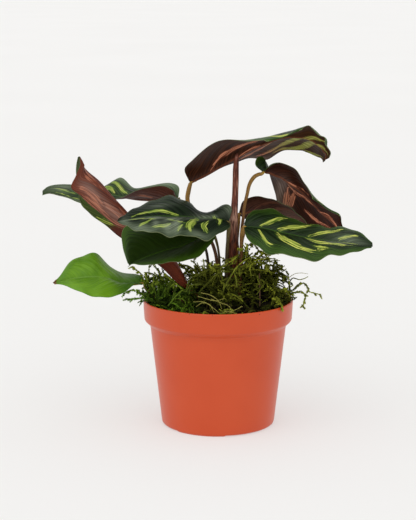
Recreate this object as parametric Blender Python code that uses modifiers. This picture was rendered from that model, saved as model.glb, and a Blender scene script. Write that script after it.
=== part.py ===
"""A potted calathea: nine open leaves on their stalks, one rolled new leaf, moss, soil and a nursery pot.

Origin at the middle of the pot's foot plane, +Z up, millimetres in the tables below, metres in the
scene. The plant is seen from the front along +Y, so +X is to the right. Nothing here moves.
"""
import math

import bmesh
import bpy
from mathutils import Vector, noise

MM = 0.001

# Pot, in mm
POT_HEIGHT = 89.0
RIM_RADIUS = 52.5
COLLAR_RADIUS = 51.7      # at the lower edge of the straight collar
COLLAR_FOOT = 75.0        # height where the collar starts to turn in
BODY_TOP = 71.2           # height of the crease under the collar
BODY_TOP_RADIUS = 47.7
BASE_RADIUS = 39.6
WALL = 1.2
FLOOR_UNDER = 1.4         # height of the floor's underside
FLOOR_TOP = 2.8
FOOT_RING_INNER = 34.0
PAD_RADIUS = 9.0          # flat pad in the middle, level with the feet
FOOT_HEIGHT = 0.8
FOOT_COUNT = 3
FOOT_ARC = 52.0           # degrees of the base that each foot takes
FIRST_FOOT = 250.0        # degrees from +X, front and a little left
HOLE_RADIUS = 3.0
HOLE_CIRCLE = 22.0
HOLE_COUNT = 6
POT_SEGMENTS = 64

# What fills the pot, in mm
GAP = 0.35                # clearance kept between touching pieces
SOIL_TOP = 81.0
CROWN_CENTRE = (3.0, 0.5)
CROWN_SIZE = (17.0, 10.0)
CROWN_TOP = 86.0
CROWN_FOOT = 76.0

# Leaf blades
BLADE_THICKNESS = 0.7
STEPS_PER_ROW = 2
STEPS_ACROSS = 3          # on each side of the midrib

# Each blade is a list of rows from its base to its tip. A row holds three points chosen by hand:
# on the left margin, on the midrib and on the right margin, as seen from the base with the upper
# side up. "bow" lifts the middle of the left and right half off the straight line, towards the
# upper side.
BLADES = {
    "leaf_right_front": dict(bow=(2.0, 2.5), rows=[
        ((18, -6, 143), (18, -7, 141), (18, -8, 140)),
        ((21, 0, 148), (21, -8, 141), (20, -14, 134)),
        ((28, 6, 151), (29, -10, 141), (26, -22, 130)),
        ((40, 8, 150), (40, -13, 139), (35, -32, 126)),
        ((52, 6, 144), (51, -16, 137), (47, -38, 127)),
        ((65, 3, 141), (63, -19, 135), (62, -41, 123)),
        ((77, -4, 140), (75, -22, 134), (75, -42, 127)),
        ((89, -12, 141), (87, -26, 133), (87, -41, 128)),
        ((98, -22, 138), (96, -30, 132), (96, -37, 130)),
        ((104, -32, 134), (104, -33, 132), (103, -34, 131)),
    ]),
    "leaf_left_front": dict(bow=(2.5, 2.0), rows=[
        ((8, -13, 142), (7, -12, 145), (8, -11, 148)),
        ((6, -18, 141), (3, -12, 147), (9, -6, 154)),
        ((0, -25, 139), (-3, -14, 148), (3, 0, 155)),
        ((-8, -34, 136), (-11, -18, 149), (-9, 4, 148)),
        ((-21, -43, 141), (-22, -24, 151), (-20, 2, 156)),
        ((-32, -49, 141), (-33, -30, 152), (-33, -4, 162)),
        ((-43, -53, 145), (-43, -36, 153), (-45, -14, 160)),
        ((-53, -56, 146), (-53, -42, 153), (-56, -26, 157)),
        ((-60, -56, 149), (-61, -47, 152), (-63, -38, 154)),
        ((-66, -52, 151), (-67, -51, 152), (-66, -50, 154)),
    ]),
    "leaf_left_hanging": dict(bow=(1.0, 2.0), rows=[
        ((-2, -12, 134), (-3, -10, 136), (-4, -8, 137)),
        ((-6, -19, 130), (-8, -10, 136), (-9, 2, 141)),
        ((-13, -27, 124), (-16, -13, 133), (-18, 3, 144)),
        ((-23, -34, 122), (-26, -17, 129), (-29, 1, 146)),
        ((-33, -39, 122), (-36, -21, 127), (-42, -3, 146)),
        ((-43, -42, 121), (-47, -26, 124), (-55, -9, 144)),
        ((-53, -43, 121), (-54, -32, 122), (-65, -16, 141)),
        ((-58, -41, 121), (-58, -37, 121), (-65, -26, 131)),
        ((-61, -40, 119), (-60, -39, 120), (-61, -38, 121)),
    ]),
    "leaf_left_folded": dict(bow=(-3.0, -4.0), rows=[
        ((-22, 1, 95), (-21, 0, 97), (-22, -1, 96)),
        ((-29, 4, 101), (-25, 2, 104), (-29, -4, 101)),
        ((-41, 8, 110), (-31, 4, 114), (-40, -6, 114)),
        ((-53, 12, 120), (-42, 6, 125), (-50, -6, 126)),
        ((-69, 15, 130), (-55, 8, 137), (-60, -4, 136)),
        ((-81, 17, 139), (-65, 9, 149), (-72, -3, 142)),
        ((-90, 18, 146), (-74, 9, 159), (-84, -5, 152)),
        ((-96, 18, 152), (-83, 8, 170), (-94, -8, 162)),
        ((-98.5, 16.5, 164), (-91, 8, 177), (-101, -8, 168)),
        ((-99.5, 14.5, 174.5), (-95, 8.5, 182), (-98, -3, 176)),
        ((-99, 12, 181.5), (-96, 8, 185), (-95.5, 2.5, 182.5)),
        ((-97.5, 8, 187.5), (-96.5, 7, 188), (-96, 6, 187)),
    ]),
    "leaf_left_back": dict(bow=(-1.5, 2.0), rows=[
        ((-30, 14, 160), (-28, 17, 157), (-28, 20, 158)),
        ((-32, 8, 165), (-37, 18, 156), (-28, 30, 163)),
        ((-40, 6, 167), (-47, 20, 156), (-35, 36, 166)),
        ((-52, 8, 166), (-57, 24, 156), (-49, 41, 162)),
        ((-65, 14, 159), (-68, 28, 157), (-61, 46, 161)),
        ((-76, 23, 156), (-78, 33, 158), (-71, 51, 167)),
        ((-90, 26, 153), (-88, 37, 157), (-82, 53, 160)),
        ((-101, 28, 153), (-100, 39, 158), (-95, 52, 162)),
        ((-111, 31, 157), (-112, 40, 159), (-109, 49, 162)),
        ((-120, 35, 158), (-120, 41, 159), (-121, 46, 162)),
        ((-126, 40, 156), (-126, 41, 157), (-126, 42, 159)),
    ]),
    "leaf_low_left": dict(bow=(2.0, 2.0), rows=[
        ((-53, -7, 100), (-52, -6, 101), (-52, -5, 102)),
        ((-58, -13, 101), (-59, -7, 101), (-54, 2, 105)),
        ((-66, -22, 97), (-68, -9, 102), (-64, 8, 105)),
        ((-74, -29, 96), (-77, -11, 106), (-75, 8, 109)),
        ((-84, -33, 97), (-87, -14, 107), (-85, 4, 120)),
        ((-93, -33, 100), (-96, -17, 107), (-95, -1, 119)),
        ((-102, -29, 103), (-104, -20, 106), (-103, -9, 116)),
        ((-109, -25, 104), (-110, -22, 105), (-109, -17, 108)),
        ((-112, -25, 104), (-113, -24, 105), (-112, -23, 106)),
    ]),
    "leaf_top": dict(bow=(2.0, 3.0), rows=[
        ((-18, 8, 169), (-19, 6, 170), (-20, 4, 171)),
        ((-13, 16, 171), (-15, 7, 172), (-23, -6, 181)),
        ((-4, 24, 175), (-6, 8, 177), (-17, -14, 188)),
        ((8, 30, 179), (5, 10, 183), (-7, -17, 198)),
        ((19, 33, 183), (16, 11, 189), (6, -16, 202)),
        ((28, 34, 183), (26, 12, 194), (21, -13, 201)),
        ((36, 34, 183), (36, 12, 198), (34, -9, 201)),
        ((47, 32, 189), (46, 12, 201), (47, -8, 204)),
        ((58, 28, 190), (56, 11, 201), (56.5, -7, 208.5)),
        ((62.5, 25, 188.5), (61, 9.5, 200.5), (61.5, -8, 211)),
        ((66.5, 22, 187), (66, 8, 198.5), (65, -6, 208)),
        ((69.5, 17, 186.5), (69, 7, 196), (68.5, -5, 204)),
        ((71.5, 13, 186.5), (71.5, 6, 194), (72.5, -4, 202)),
        ((72.5, 10, 185.5), (73, 5.5, 191.5), (73, -2, 197.5)),
        ((72.5, 8, 185), (74.5, 5, 189.5), (77, 0, 192)),
        ((72.5, 7, 184), (74, 5, 186), (76.5, 2, 188.5)),
    ]),
    "leaf_right_drooping": dict(bow=(1.5, 2.5), rows=[
        ((30.5, 4.5, 178), (31.5, 3, 177.5), (32, 2, 178.5)),
        ((26, 7, 182), (32, 3, 178), (33, 1, 179.5)),
        ((27, 10, 186.5), (32.5, 3, 178), (34, -0.5, 181)),
        ((31, 13, 187), (33.5, 3.5, 177.5), (35.5, -2, 182)),
        ((34.5, 16, 181), (34.5, 4, 177.5), (37.5, -3, 183.5)),
        ((36, 18.5, 174.5), (36.5, 4.5, 177), (40, -4.5, 184.5)),
        ((38, 22, 167.5), (39.5, 6, 175.5), (43.5, -6, 185)),
        ((40.5, 26, 159), (44, 8, 173.5), (48.5, -6.5, 183.5)),
        ((43.5, 30, 150), (50, 11, 169), (54, -5, 179)),
        ((52, 32, 144.5), (57, 14.5, 164), (59.5, -2, 170.5)),
        ((62, 34, 137), (64, 18.5, 157), (65, 3, 161)),
        ((72, 34, 130), (72, 23, 147.5), (73, 9, 153.5)),
        ((80, 34, 126), (81.5, 27, 138.5), (85, 17, 146)),
        ((84.5, 33, 125), (86, 29.5, 133), (87.5, 22, 139)),
        ((88, 32, 125), (89.5, 31, 128.5), (90, 28, 131.5)),
    ]),
    "leaf_right_back": dict(bow=(2.0, 2.0), rows=[
        ((16, 14, 145), (15, 12, 147), (15, 10, 149)),
        ((23, 20, 140), (20, 13, 148), (18, 9, 157)),
        ((31, 26, 135), (27, 14, 149), (28, 6, 160)),
        ((41, 30, 131), (37, 16, 148), (38, 5, 158)),
        ((52, 32, 128), (47, 18, 144), (49, 6, 153)),
        ((58, 32, 125), (56, 20, 138), (57, 9, 146)),
        ((64, 29, 125), (62, 22, 133), (63, 14, 139)),
        ((68, 25, 128), (68, 24, 128), (68, 22, 130)),
    ]),
}

# Each stalk is a line of points (x, y, z, radius) in mm, from the blade down to the crown.
STALKS = {
    "stalk_right_front": [(17.4, -6.6, 140.2, 1.4), (16.8, -5.5, 136, 2.1), (16.2, -4.5, 130, 1.5),
                          (15.8, -4, 118, 1.4), (15, -4, 100, 1.5), (14, -4, 86.6, 1.7)],
    "stalk_left_front": [(7.4, -11.4, 144, 1.3), (7, -10.4, 139, 1.7), (6.4, -8.6, 130, 1.4),
                         (6, -7.4, 116, 1.4), (6, -6.8, 100, 1.4), (6, -6.4, 86.6, 1.6)],
    "stalk_left_hanging": [(-2.4, -9.6, 135, 1.2), (-1.4, -8.4, 131.5, 1.3), (0, -6, 125, 1.1),
                           (1, -4, 115, 1.1), (1.4, -3, 100, 1.2), (1.6, -2.6, 86.6, 1.3)],
    "stalk_left_folded": [(-20.3, -0.2, 95.6, 1.7), (-17.5, -0.6, 92.6, 1.8), (-13.5, -1, 89.4, 1.8),
                          (-10.6, -1.2, 87.6, 1.7)],
    "stalk_left_back": [(-27.4, 16.6, 156.4, 1.2), (-25.6, 15.6, 152, 1.5), (-20, 13, 145, 1.2),
                        (-13, 9.6, 134, 1.2), (-8, 7, 120, 1.2), (-6.4, 5.4, 104, 1.2), (-6, 5, 86.6, 1.4)],
    "stalk_low_left": [(-51.3, -5.8, 100.4, 1.2), (-50.2, -5.8, 97.6, 1.4), (-46.5, -5.9, 93.5, 1.3),
                       (-36, -5.8, 89.6, 1.2), (-22, -5.3, 87.8, 1.2), (-10.6, -4.8, 87.4, 1.2)],
    "stalk_top": [(-19.3, 6, 169.2, 1.4), (-20.6, 6, 164, 1.7), (-21.3, 6, 157.5, 1.6),
                  (-18.5, 6, 149.5, 1.4), (-10.5, 5.4, 138, 1.3), (-3.6, 4.4, 126, 1.3),
                  (-0.6, 3.6, 112, 1.3), (0.4, 3.2, 86.6, 1.5)],
    "stalk_right_drooping": [(29.9, 2.8, 176.4, 1.3), (27.8, 2.7, 176, 1.4), (24.6, 2.5, 174, 1.5),
                             (21.6, 2.4, 169, 1.4), (20, 2.3, 162, 1.3), (18.2, 2.3, 154, 1.2),
                             (17.5, 2.4, 146, 1.2), (16.4, 2.8, 136, 1.2), (16.2, 3, 120, 1.2),
                             (15.6, 3.2, 102, 1.3), (15, 3.2, 86.6, 1.5)],
    "stalk_right_back": [(14.6, 11.5, 146, 1.2), (14.2, 10.8, 140, 1.4), (13.4, 9.4, 130, 1.2),
                         (12, 8, 112, 1.2), (10.6, 7.2, 86.6, 1.4)],
}

# Rolled new leaf in the middle, same form
SPEAR = [(12.9, 0, 191, 0.5), (12.6, 0, 187.5, 1.6), (12.2, 0, 180, 2.1), (12.1, 0, 172, 2.2),
         (11.7, 0, 160, 2.3), (10.9, 0, 148, 2.9), (10, 0, 136, 3.7), (9.6, 0, 122, 4.2),
         (9.2, 0, 104, 4.3), (9, 0, 86.6, 4.0)]

# Moss. Tufts stand in a ring on the soil, with a way through at the left for two stalks.
TUFT_INNER = 19.5
TUFT_OUTER = 49.0
FIRST_TUFT = 213.0        # degrees from +X
TUFT_PITCH = 33.6
TUFT_ARC = 31.0           # degrees of the ring that one tuft takes
TUFT_TOPS = (97, 98, 99, 103, 108, 114, 117, 116, 115, 112)
TUFT_SEGMENTS = 16
TUFT_RINGS = 8
TUFT_SQUARE = 0.6         # 1 makes a tuft an egg, less fills out its corners
TUFT_ROUGH = 1.0          # mm that its surface wanders
SPRIG_RADIUS = 0.9
SPRIGS = {
    "moss_sprig_right_long": [(49.6, -9, 95.5), (52.5, -10, 97.5), (55, -10.5, 100.5), (59, -11, 102),
                              (61.5, -11, 100), (62.5, -11.5, 96.5), (67, -11.5, 95), (71, -11.5, 94)],
    "moss_sprig_right_hanging": [(47, -17.5, 94), (51, -19, 96.5), (56, -20, 98), (59.5, -20.5, 96),
                                 (59.5, -20.5, 92.5), (58.5, -20.5, 89), (58.5, -20.5, 87)],
    "moss_sprig_right_upper": [(50, 2, 100.5), (52.5, 2, 103), (57, 1.5, 102), (60.5, 1, 103),
                               (63, 0.5, 104.5)],
    "moss_sprig_left": [(-47.6, -13, 92.5), (-52.5, -13.5, 95), (-56.5, -14, 97), (-61, -14, 97.5),
                        (-65, -14, 95.5)],
    "moss_sprig_left_low": [(-45.8, -17, 91.5), (-51.5, -18, 93), (-57.5, -18.5, 92.5), (-63.5, -18.5, 92.5)],
}
TWIG = [(28.5, -16, 82.2, 0.5), (28.7, -16.1, 93, 0.5), (28.3, -15.9, 110, 0.4)]

# Plain colours, linear values
TERRACOTTA = (0.57, 0.09, 0.037, 1)
SOIL_BROWN = (0.03, 0.018, 0.01, 1)
CROWN_BROWN = (0.16, 0.07, 0.035, 1)
LEAF_GREEN = (0.02, 0.07, 0.015, 1)
LEAF_BRIGHT = (0.09, 0.28, 0.02, 1)
STALK_BROWN = (0.25, 0.1, 0.03, 1)
SPEAR_RED = (0.15, 0.04, 0.03, 1)
MOSS_GREEN = (0.1, 0.16, 0.015, 1)
TWIG_BROWN = (0.12, 0.06, 0.03, 1)


def empty_scene():
    for item in list(bpy.data.objects):
        bpy.data.objects.remove(item)
    for collection in list(bpy.data.collections):
        bpy.data.collections.remove(collection)


def new_collection(name):
    collection = bpy.data.collections.new(name)
    bpy.context.scene.collection.children.link(collection)
    return collection


def plain_material(name, colour, roughness):
    material = bpy.data.materials.new(name)
    material.use_nodes = True
    shader = material.node_tree.nodes["Principled BSDF"]
    shader.inputs["Base Color"].default_value = colour
    shader.inputs["Roughness"].default_value = roughness
    shader.inputs["Metallic"].default_value = 0.0
    return material


def place(name, data, collection, colour, roughness=0.5):
    item = bpy.data.objects.new(name, data)
    collection.objects.link(item)
    data.materials.append(plain_material(name + "_finish", colour, roughness))
    return item


def mesh_object(name, bm, collection, colour, roughness=0.5):
    data = bpy.data.meshes.new(name)
    bm.to_mesh(data)
    bm.free()
    return place(name, data, collection, colour, roughness)


def turned(name, profile, collection, colour, roughness, segments=POT_SEGMENTS):
    """A profile of (radius, height) in mm, top to bottom on its outer side, turned about Z."""
    data = bpy.data.meshes.new(name)
    points = [(radius * MM, 0, height * MM) for radius, height in profile]
    edges = [(i, i + 1) for i in range(len(points) - 1)]
    data.from_pydata(points, edges, [])
    item = place(name, data, collection, colour, roughness)
    screw = item.modifiers.new("turn", "SCREW")
    screw.steps = segments
    screw.render_steps = segments
    screw.use_merge_vertices = True
    screw.merge_threshold = 0.00005
    screw.use_normal_calculate = True
    return item


def cut(item, cutter):
    cutter.hide_render = True
    cutter.display_type = "WIRE"
    boolean = item.modifiers.new("cut_" + cutter.name, "BOOLEAN")
    boolean.operation = "DIFFERENCE"
    boolean.solver = "EXACT"
    boolean.object = cutter


def tube(name, points, collection, colour, radius=None, sides=1, steps=3):
    """A round stalk along (x, y, z, radius) points, or (x, y, z) with one radius. Sizes in mm."""
    data = bpy.data.curves.new(name, "CURVE")
    data.dimensions = "3D"
    data.bevel_depth = MM
    data.bevel_resolution = sides
    data.resolution_u = steps
    data.use_fill_caps = True
    spline = data.splines.new("BEZIER")
    spline.bezier_points.add(len(points) - 1)
    for knot, point in zip(spline.bezier_points, points):
        knot.co = Vector(point[:3]) * MM
        knot.radius = radius if radius else point[3]
        knot.handle_left_type = "AUTO"
        knot.handle_right_type = "AUTO"
    return place(name, data, collection, colour, 0.45)


def through(points, where):
    """A smooth line through the points (Catmull-Rom), at a row number with a fraction."""
    last = len(points) - 1
    row = min(int(where), last - 1)
    t = where - row
    here = points[row]
    there = points[row + 1]
    before = points[row - 1] if row else here * 2 - there
    after = points[row + 2] if row + 2 <= last else there * 2 - here
    return 0.5 * (2 * here + (there - before) * t + (2 * before - 5 * here + 4 * there - after) * t ** 2
                  + (3 * here - 3 * there + after - before) * t ** 3)


def blade_point(rows, bow, along, across):
    """A point of the blade: along in rows from the base, across from -1 (left) to 1 (right)."""
    left, middle, right = [through(line, along) for line in rows]
    ahead = through(rows[1], min(along + 0.05, len(rows[1]) - 1)) - through(rows[1], max(along - 0.05, 0))
    up = ahead.cross(left - right).normalized()
    margin, lift = (left, bow[0]) if across < 0 else (right, bow[1])
    share = abs(across)
    narrow = min(1.0, (margin - middle).length / 12)
    return middle + (margin - middle) * share + up * lift * narrow * 4 * share * (1 - share)


def blade(name, rows, bow, collection, colour):
    """A leaf blade: a grid laid through the rows of the table, then given its thickness."""
    lines = [[Vector(row[k]) for row in rows] for k in range(3)]
    steps_along = (len(rows) - 1) * STEPS_PER_ROW
    bm = bmesh.new()
    bmesh.ops.create_grid(bm, x_segments=steps_along, y_segments=2 * STEPS_ACROSS, size=1)
    for vert in bm.verts:
        along = (vert.co.x + 1) / 2 * (len(rows) - 1)
        vert.co = blade_point(lines, bow, along, vert.co.y * -1) * MM
    item = mesh_object(name, bm, collection, colour, 0.4)
    solidify = item.modifiers.new("thickness", "SOLIDIFY")
    solidify.thickness = BLADE_THICKNESS * MM
    solidify.offset = 0
    return item


def pot(collection, cutters):
    """Thin moulded pot: straight collar over a tapered body, floor with drain holes, three feet."""
    outer = [(RIM_RADIUS - WALL, POT_HEIGHT - 0.5), (RIM_RADIUS - WALL + 0.3, POT_HEIGHT),
             (RIM_RADIUS - 0.3, POT_HEIGHT), (RIM_RADIUS, POT_HEIGHT - 0.4), (COLLAR_RADIUS, COLLAR_FOOT),
             (COLLAR_RADIUS - 0.5, COLLAR_FOOT - 0.9), (BODY_TOP_RADIUS + 0.2, BODY_TOP + 0.3),
             (BODY_TOP_RADIUS, BODY_TOP - 0.5), (BASE_RADIUS + 0.1, 2.6), (BASE_RADIUS - 0.5, 0.7),
             (BASE_RADIUS - 1.4, 0)]
    under = [(FOOT_RING_INNER, 0), (FOOT_RING_INNER - 0.4, FLOOR_UNDER), (PAD_RADIUS + 0.4, FLOOR_UNDER),
             (PAD_RADIUS, 0), (0, 0)]
    inner = [(0, FLOOR_TOP), (BASE_RADIUS - WALL - 1.2, FLOOR_TOP),
             (BASE_RADIUS - WALL + 0.2, FLOOR_TOP + 1.6), (BODY_TOP_RADIUS - WALL, BODY_TOP + 0.6),
             (COLLAR_RADIUS - WALL - 0.6, COLLAR_FOOT + 0.2),
             (COLLAR_RADIUS - WALL, COLLAR_FOOT + 1.6), (RIM_RADIUS - WALL, POT_HEIGHT - 0.5)]
    item = turned("pot", outer + under + inner, collection, TERRACOTTA, 0.35)
    for k in range(FOOT_COUNT):
        cut(item, foot_gap(FIRST_FOOT + (k + 0.5) * 360 / FOOT_COUNT, cutters))
    for k in range(HOLE_COUNT):
        angle = math.radians(FIRST_FOOT + (k + 0.5) * 360 / HOLE_COUNT)
        bm = bmesh.new()
        bmesh.ops.create_cone(bm, cap_ends=True, segments=20, radius1=HOLE_RADIUS * MM,
                              radius2=HOLE_RADIUS * MM, depth=6 * MM)
        hole = mesh_object("drain_hole_%d" % k, bm, cutters, TERRACOTTA)
        centre = (HOLE_CIRCLE * math.cos(angle), HOLE_CIRCLE * math.sin(angle), FLOOR_UNDER)
        hole.location = Vector(centre) * MM
        cut(item, hole)
    return item


def foot_gap(degrees, cutters):
    """The block cut out of the foot ring between two feet, in the direction given."""
    half_width = BASE_RADIUS * math.sin(math.radians(360 / FOOT_COUNT - FOOT_ARC) / 2)
    near, far = FOOT_RING_INNER * 0.7, BASE_RADIUS * 1.5
    bm = bmesh.new()
    bmesh.ops.create_cube(bm, size=1)
    bmesh.ops.scale(bm, vec=Vector((far - near, 2 * half_width, 2 * FOOT_HEIGHT)) * MM, verts=bm.verts)
    bmesh.ops.translate(bm, vec=Vector(((far + near) / 2, 0, 0)) * MM, verts=bm.verts)
    item = mesh_object("foot_gap_%d" % degrees, bm, cutters, TERRACOTTA)
    item.rotation_euler.z = math.radians(degrees)
    return item


def crown(name, collection, grow=0.0):
    """The short rootstock the stalks stand on. grow makes the hollow it leaves in the soil."""
    bm = bmesh.new()
    depth = CROWN_TOP - CROWN_FOOT + 2 * grow
    bmesh.ops.create_cone(bm, cap_ends=True, segments=24, radius1=0.75, radius2=1, depth=depth * MM)
    for vert in bm.verts:
        vert.co.x *= (CROWN_SIZE[0] + grow) * MM
        vert.co.y *= (CROWN_SIZE[1] + grow) * MM
    item = mesh_object(name, bm, collection, CROWN_BROWN, 0.8)
    item.location = (CROWN_CENTRE[0] * MM, CROWN_CENTRE[1] * MM, (CROWN_TOP + CROWN_FOOT) / 2 * MM)
    return item


def soil(collection, cutters):
    reach = WALL + GAP
    profile = [(0, SOIL_TOP), (COLLAR_RADIUS - reach - 0.2, SOIL_TOP),
               (COLLAR_RADIUS - reach - 0.2, COLLAR_FOOT + 2),
               (COLLAR_RADIUS - reach - 1.4, COLLAR_FOOT + 0.6),
               (BODY_TOP_RADIUS - reach - 0.2, BODY_TOP + 1.2), (BASE_RADIUS - reach, FLOOR_TOP + 2.4),
               (BASE_RADIUS - reach - 1.6, FLOOR_TOP + GAP), (0, FLOOR_TOP + GAP)]
    item = turned("soil", profile, collection, SOIL_BROWN, 0.95, segments=48)
    cut(item, crown("crown_hollow", cutters, grow=GAP))
    return item


def squared(value):
    return math.copysign(abs(value) ** TUFT_SQUARE, value)


def moss_tuft(number, top, collection):
    """One cushion of moss: a rough flat-bottomed mound that fills its part of the ring."""
    foot = SOIL_TOP + GAP
    half = (TUFT_OUTER - TUFT_INNER) / 2 - TUFT_ROUGH
    bm = bmesh.new()
    bmesh.ops.create_uvsphere(bm, u_segments=TUFT_SEGMENTS, v_segments=TUFT_RINGS, radius=1)
    for vert in bm.verts:
        angle = math.radians(FIRST_TUFT + number * TUFT_PITCH + squared(vert.co.y) * TUFT_ARC / 2)
        radius = (TUFT_INNER + TUFT_OUTER) / 2 + squared(vert.co.x) * half
        height = foot + 4 + squared(vert.co.z) * (top - foot - 4)
        spot = Vector((radius * math.cos(angle), radius * math.sin(angle), height))
        lump = noise.noise(spot * 0.13) * TUFT_ROUGH
        spot += Vector((math.cos(angle), math.sin(angle), 2)) * lump
        spot.z = max(spot.z, foot)
        vert.co = spot * MM
    return mesh_object("moss_tuft_%02d" % (number + 1), bm, collection, MOSS_GREEN, 0.9)


def build():
    empty_scene()
    plant = new_collection("potted_calathea")
    cutters = new_collection("cutters")
    pot(plant, cutters)
    soil(plant, cutters)
    crown("crown", plant)
    for name, leaf in BLADES.items():
        colour = LEAF_BRIGHT if name == "leaf_low_left" else LEAF_GREEN
        blade(name, leaf["rows"], leaf["bow"], plant, colour)
    for name, points in STALKS.items():
        tube(name, points, plant, STALK_BROWN)
    tube("new_leaf_rolled", SPEAR, plant, SPEAR_RED, sides=2)
    for number, top in enumerate(TUFT_TOPS):
        moss_tuft(number, top, plant)
    for name, points in SPRIGS.items():
        tube(name, points, plant, MOSS_GREEN, radius=SPRIG_RADIUS, sides=0, steps=2)
    tube("dry_twig", TWIG, plant, TWIG_BROWN, sides=0, steps=2)


build()
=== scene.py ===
import math
import random

import bpy
import numpy as np
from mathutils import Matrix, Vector, noise


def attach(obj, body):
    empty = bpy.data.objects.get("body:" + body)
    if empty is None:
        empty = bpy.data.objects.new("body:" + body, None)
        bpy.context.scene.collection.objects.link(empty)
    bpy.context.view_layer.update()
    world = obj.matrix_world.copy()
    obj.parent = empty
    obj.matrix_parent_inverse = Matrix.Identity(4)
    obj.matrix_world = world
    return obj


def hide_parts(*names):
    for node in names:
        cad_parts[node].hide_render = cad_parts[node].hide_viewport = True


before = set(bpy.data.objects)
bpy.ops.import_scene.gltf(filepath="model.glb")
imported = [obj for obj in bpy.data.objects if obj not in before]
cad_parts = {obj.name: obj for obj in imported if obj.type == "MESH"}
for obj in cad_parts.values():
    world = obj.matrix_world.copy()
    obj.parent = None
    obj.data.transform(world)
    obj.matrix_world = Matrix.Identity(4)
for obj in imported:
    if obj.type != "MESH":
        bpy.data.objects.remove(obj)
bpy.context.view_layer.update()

MM = 0.001

# Camera, found by fitting a pinhole camera to the pot in the 416 by 520 photo
PHOTO_HEIGHT = 520
FOCAL_PIXELS = 1556.6
SENSOR = 36.0
CAMERA_PLACE = (-7.1, -1067.1, 317.1)  # mm
CAMERA_DOWN = 0.186  # radians below the horizon

# Pot, in mm, as in the CAD
POT_HEIGHT = 89.0
RIM_RADIUS = 52.5
COLLAR_RADIUS = 51.7
COLLAR_FOOT = 75.0
BODY_TOP = 71.2
BODY_TOP_RADIUS = 47.7
BASE_RADIUS = 39.6
WALL = 1.2
FLOOR_UNDER = 1.4
FLOOR_TOP = 2.8
FOOT_RING_INNER = 34.0
PAD_RADIUS = 9.0
FOOT_HEIGHT = 0.8
FOOT_COUNT = 3
FOOT_ARC = 52.0  # degrees
FIRST_FOOT = 250.0
POT_SEGMENTS = 240
LIP_RADIUS = 0.75
POT_AXIS = 0.001  # radius where the profile meets the axis
SOIL_TOP = 81.0
GAP = 0.35  # between the soil and the pot

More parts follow.
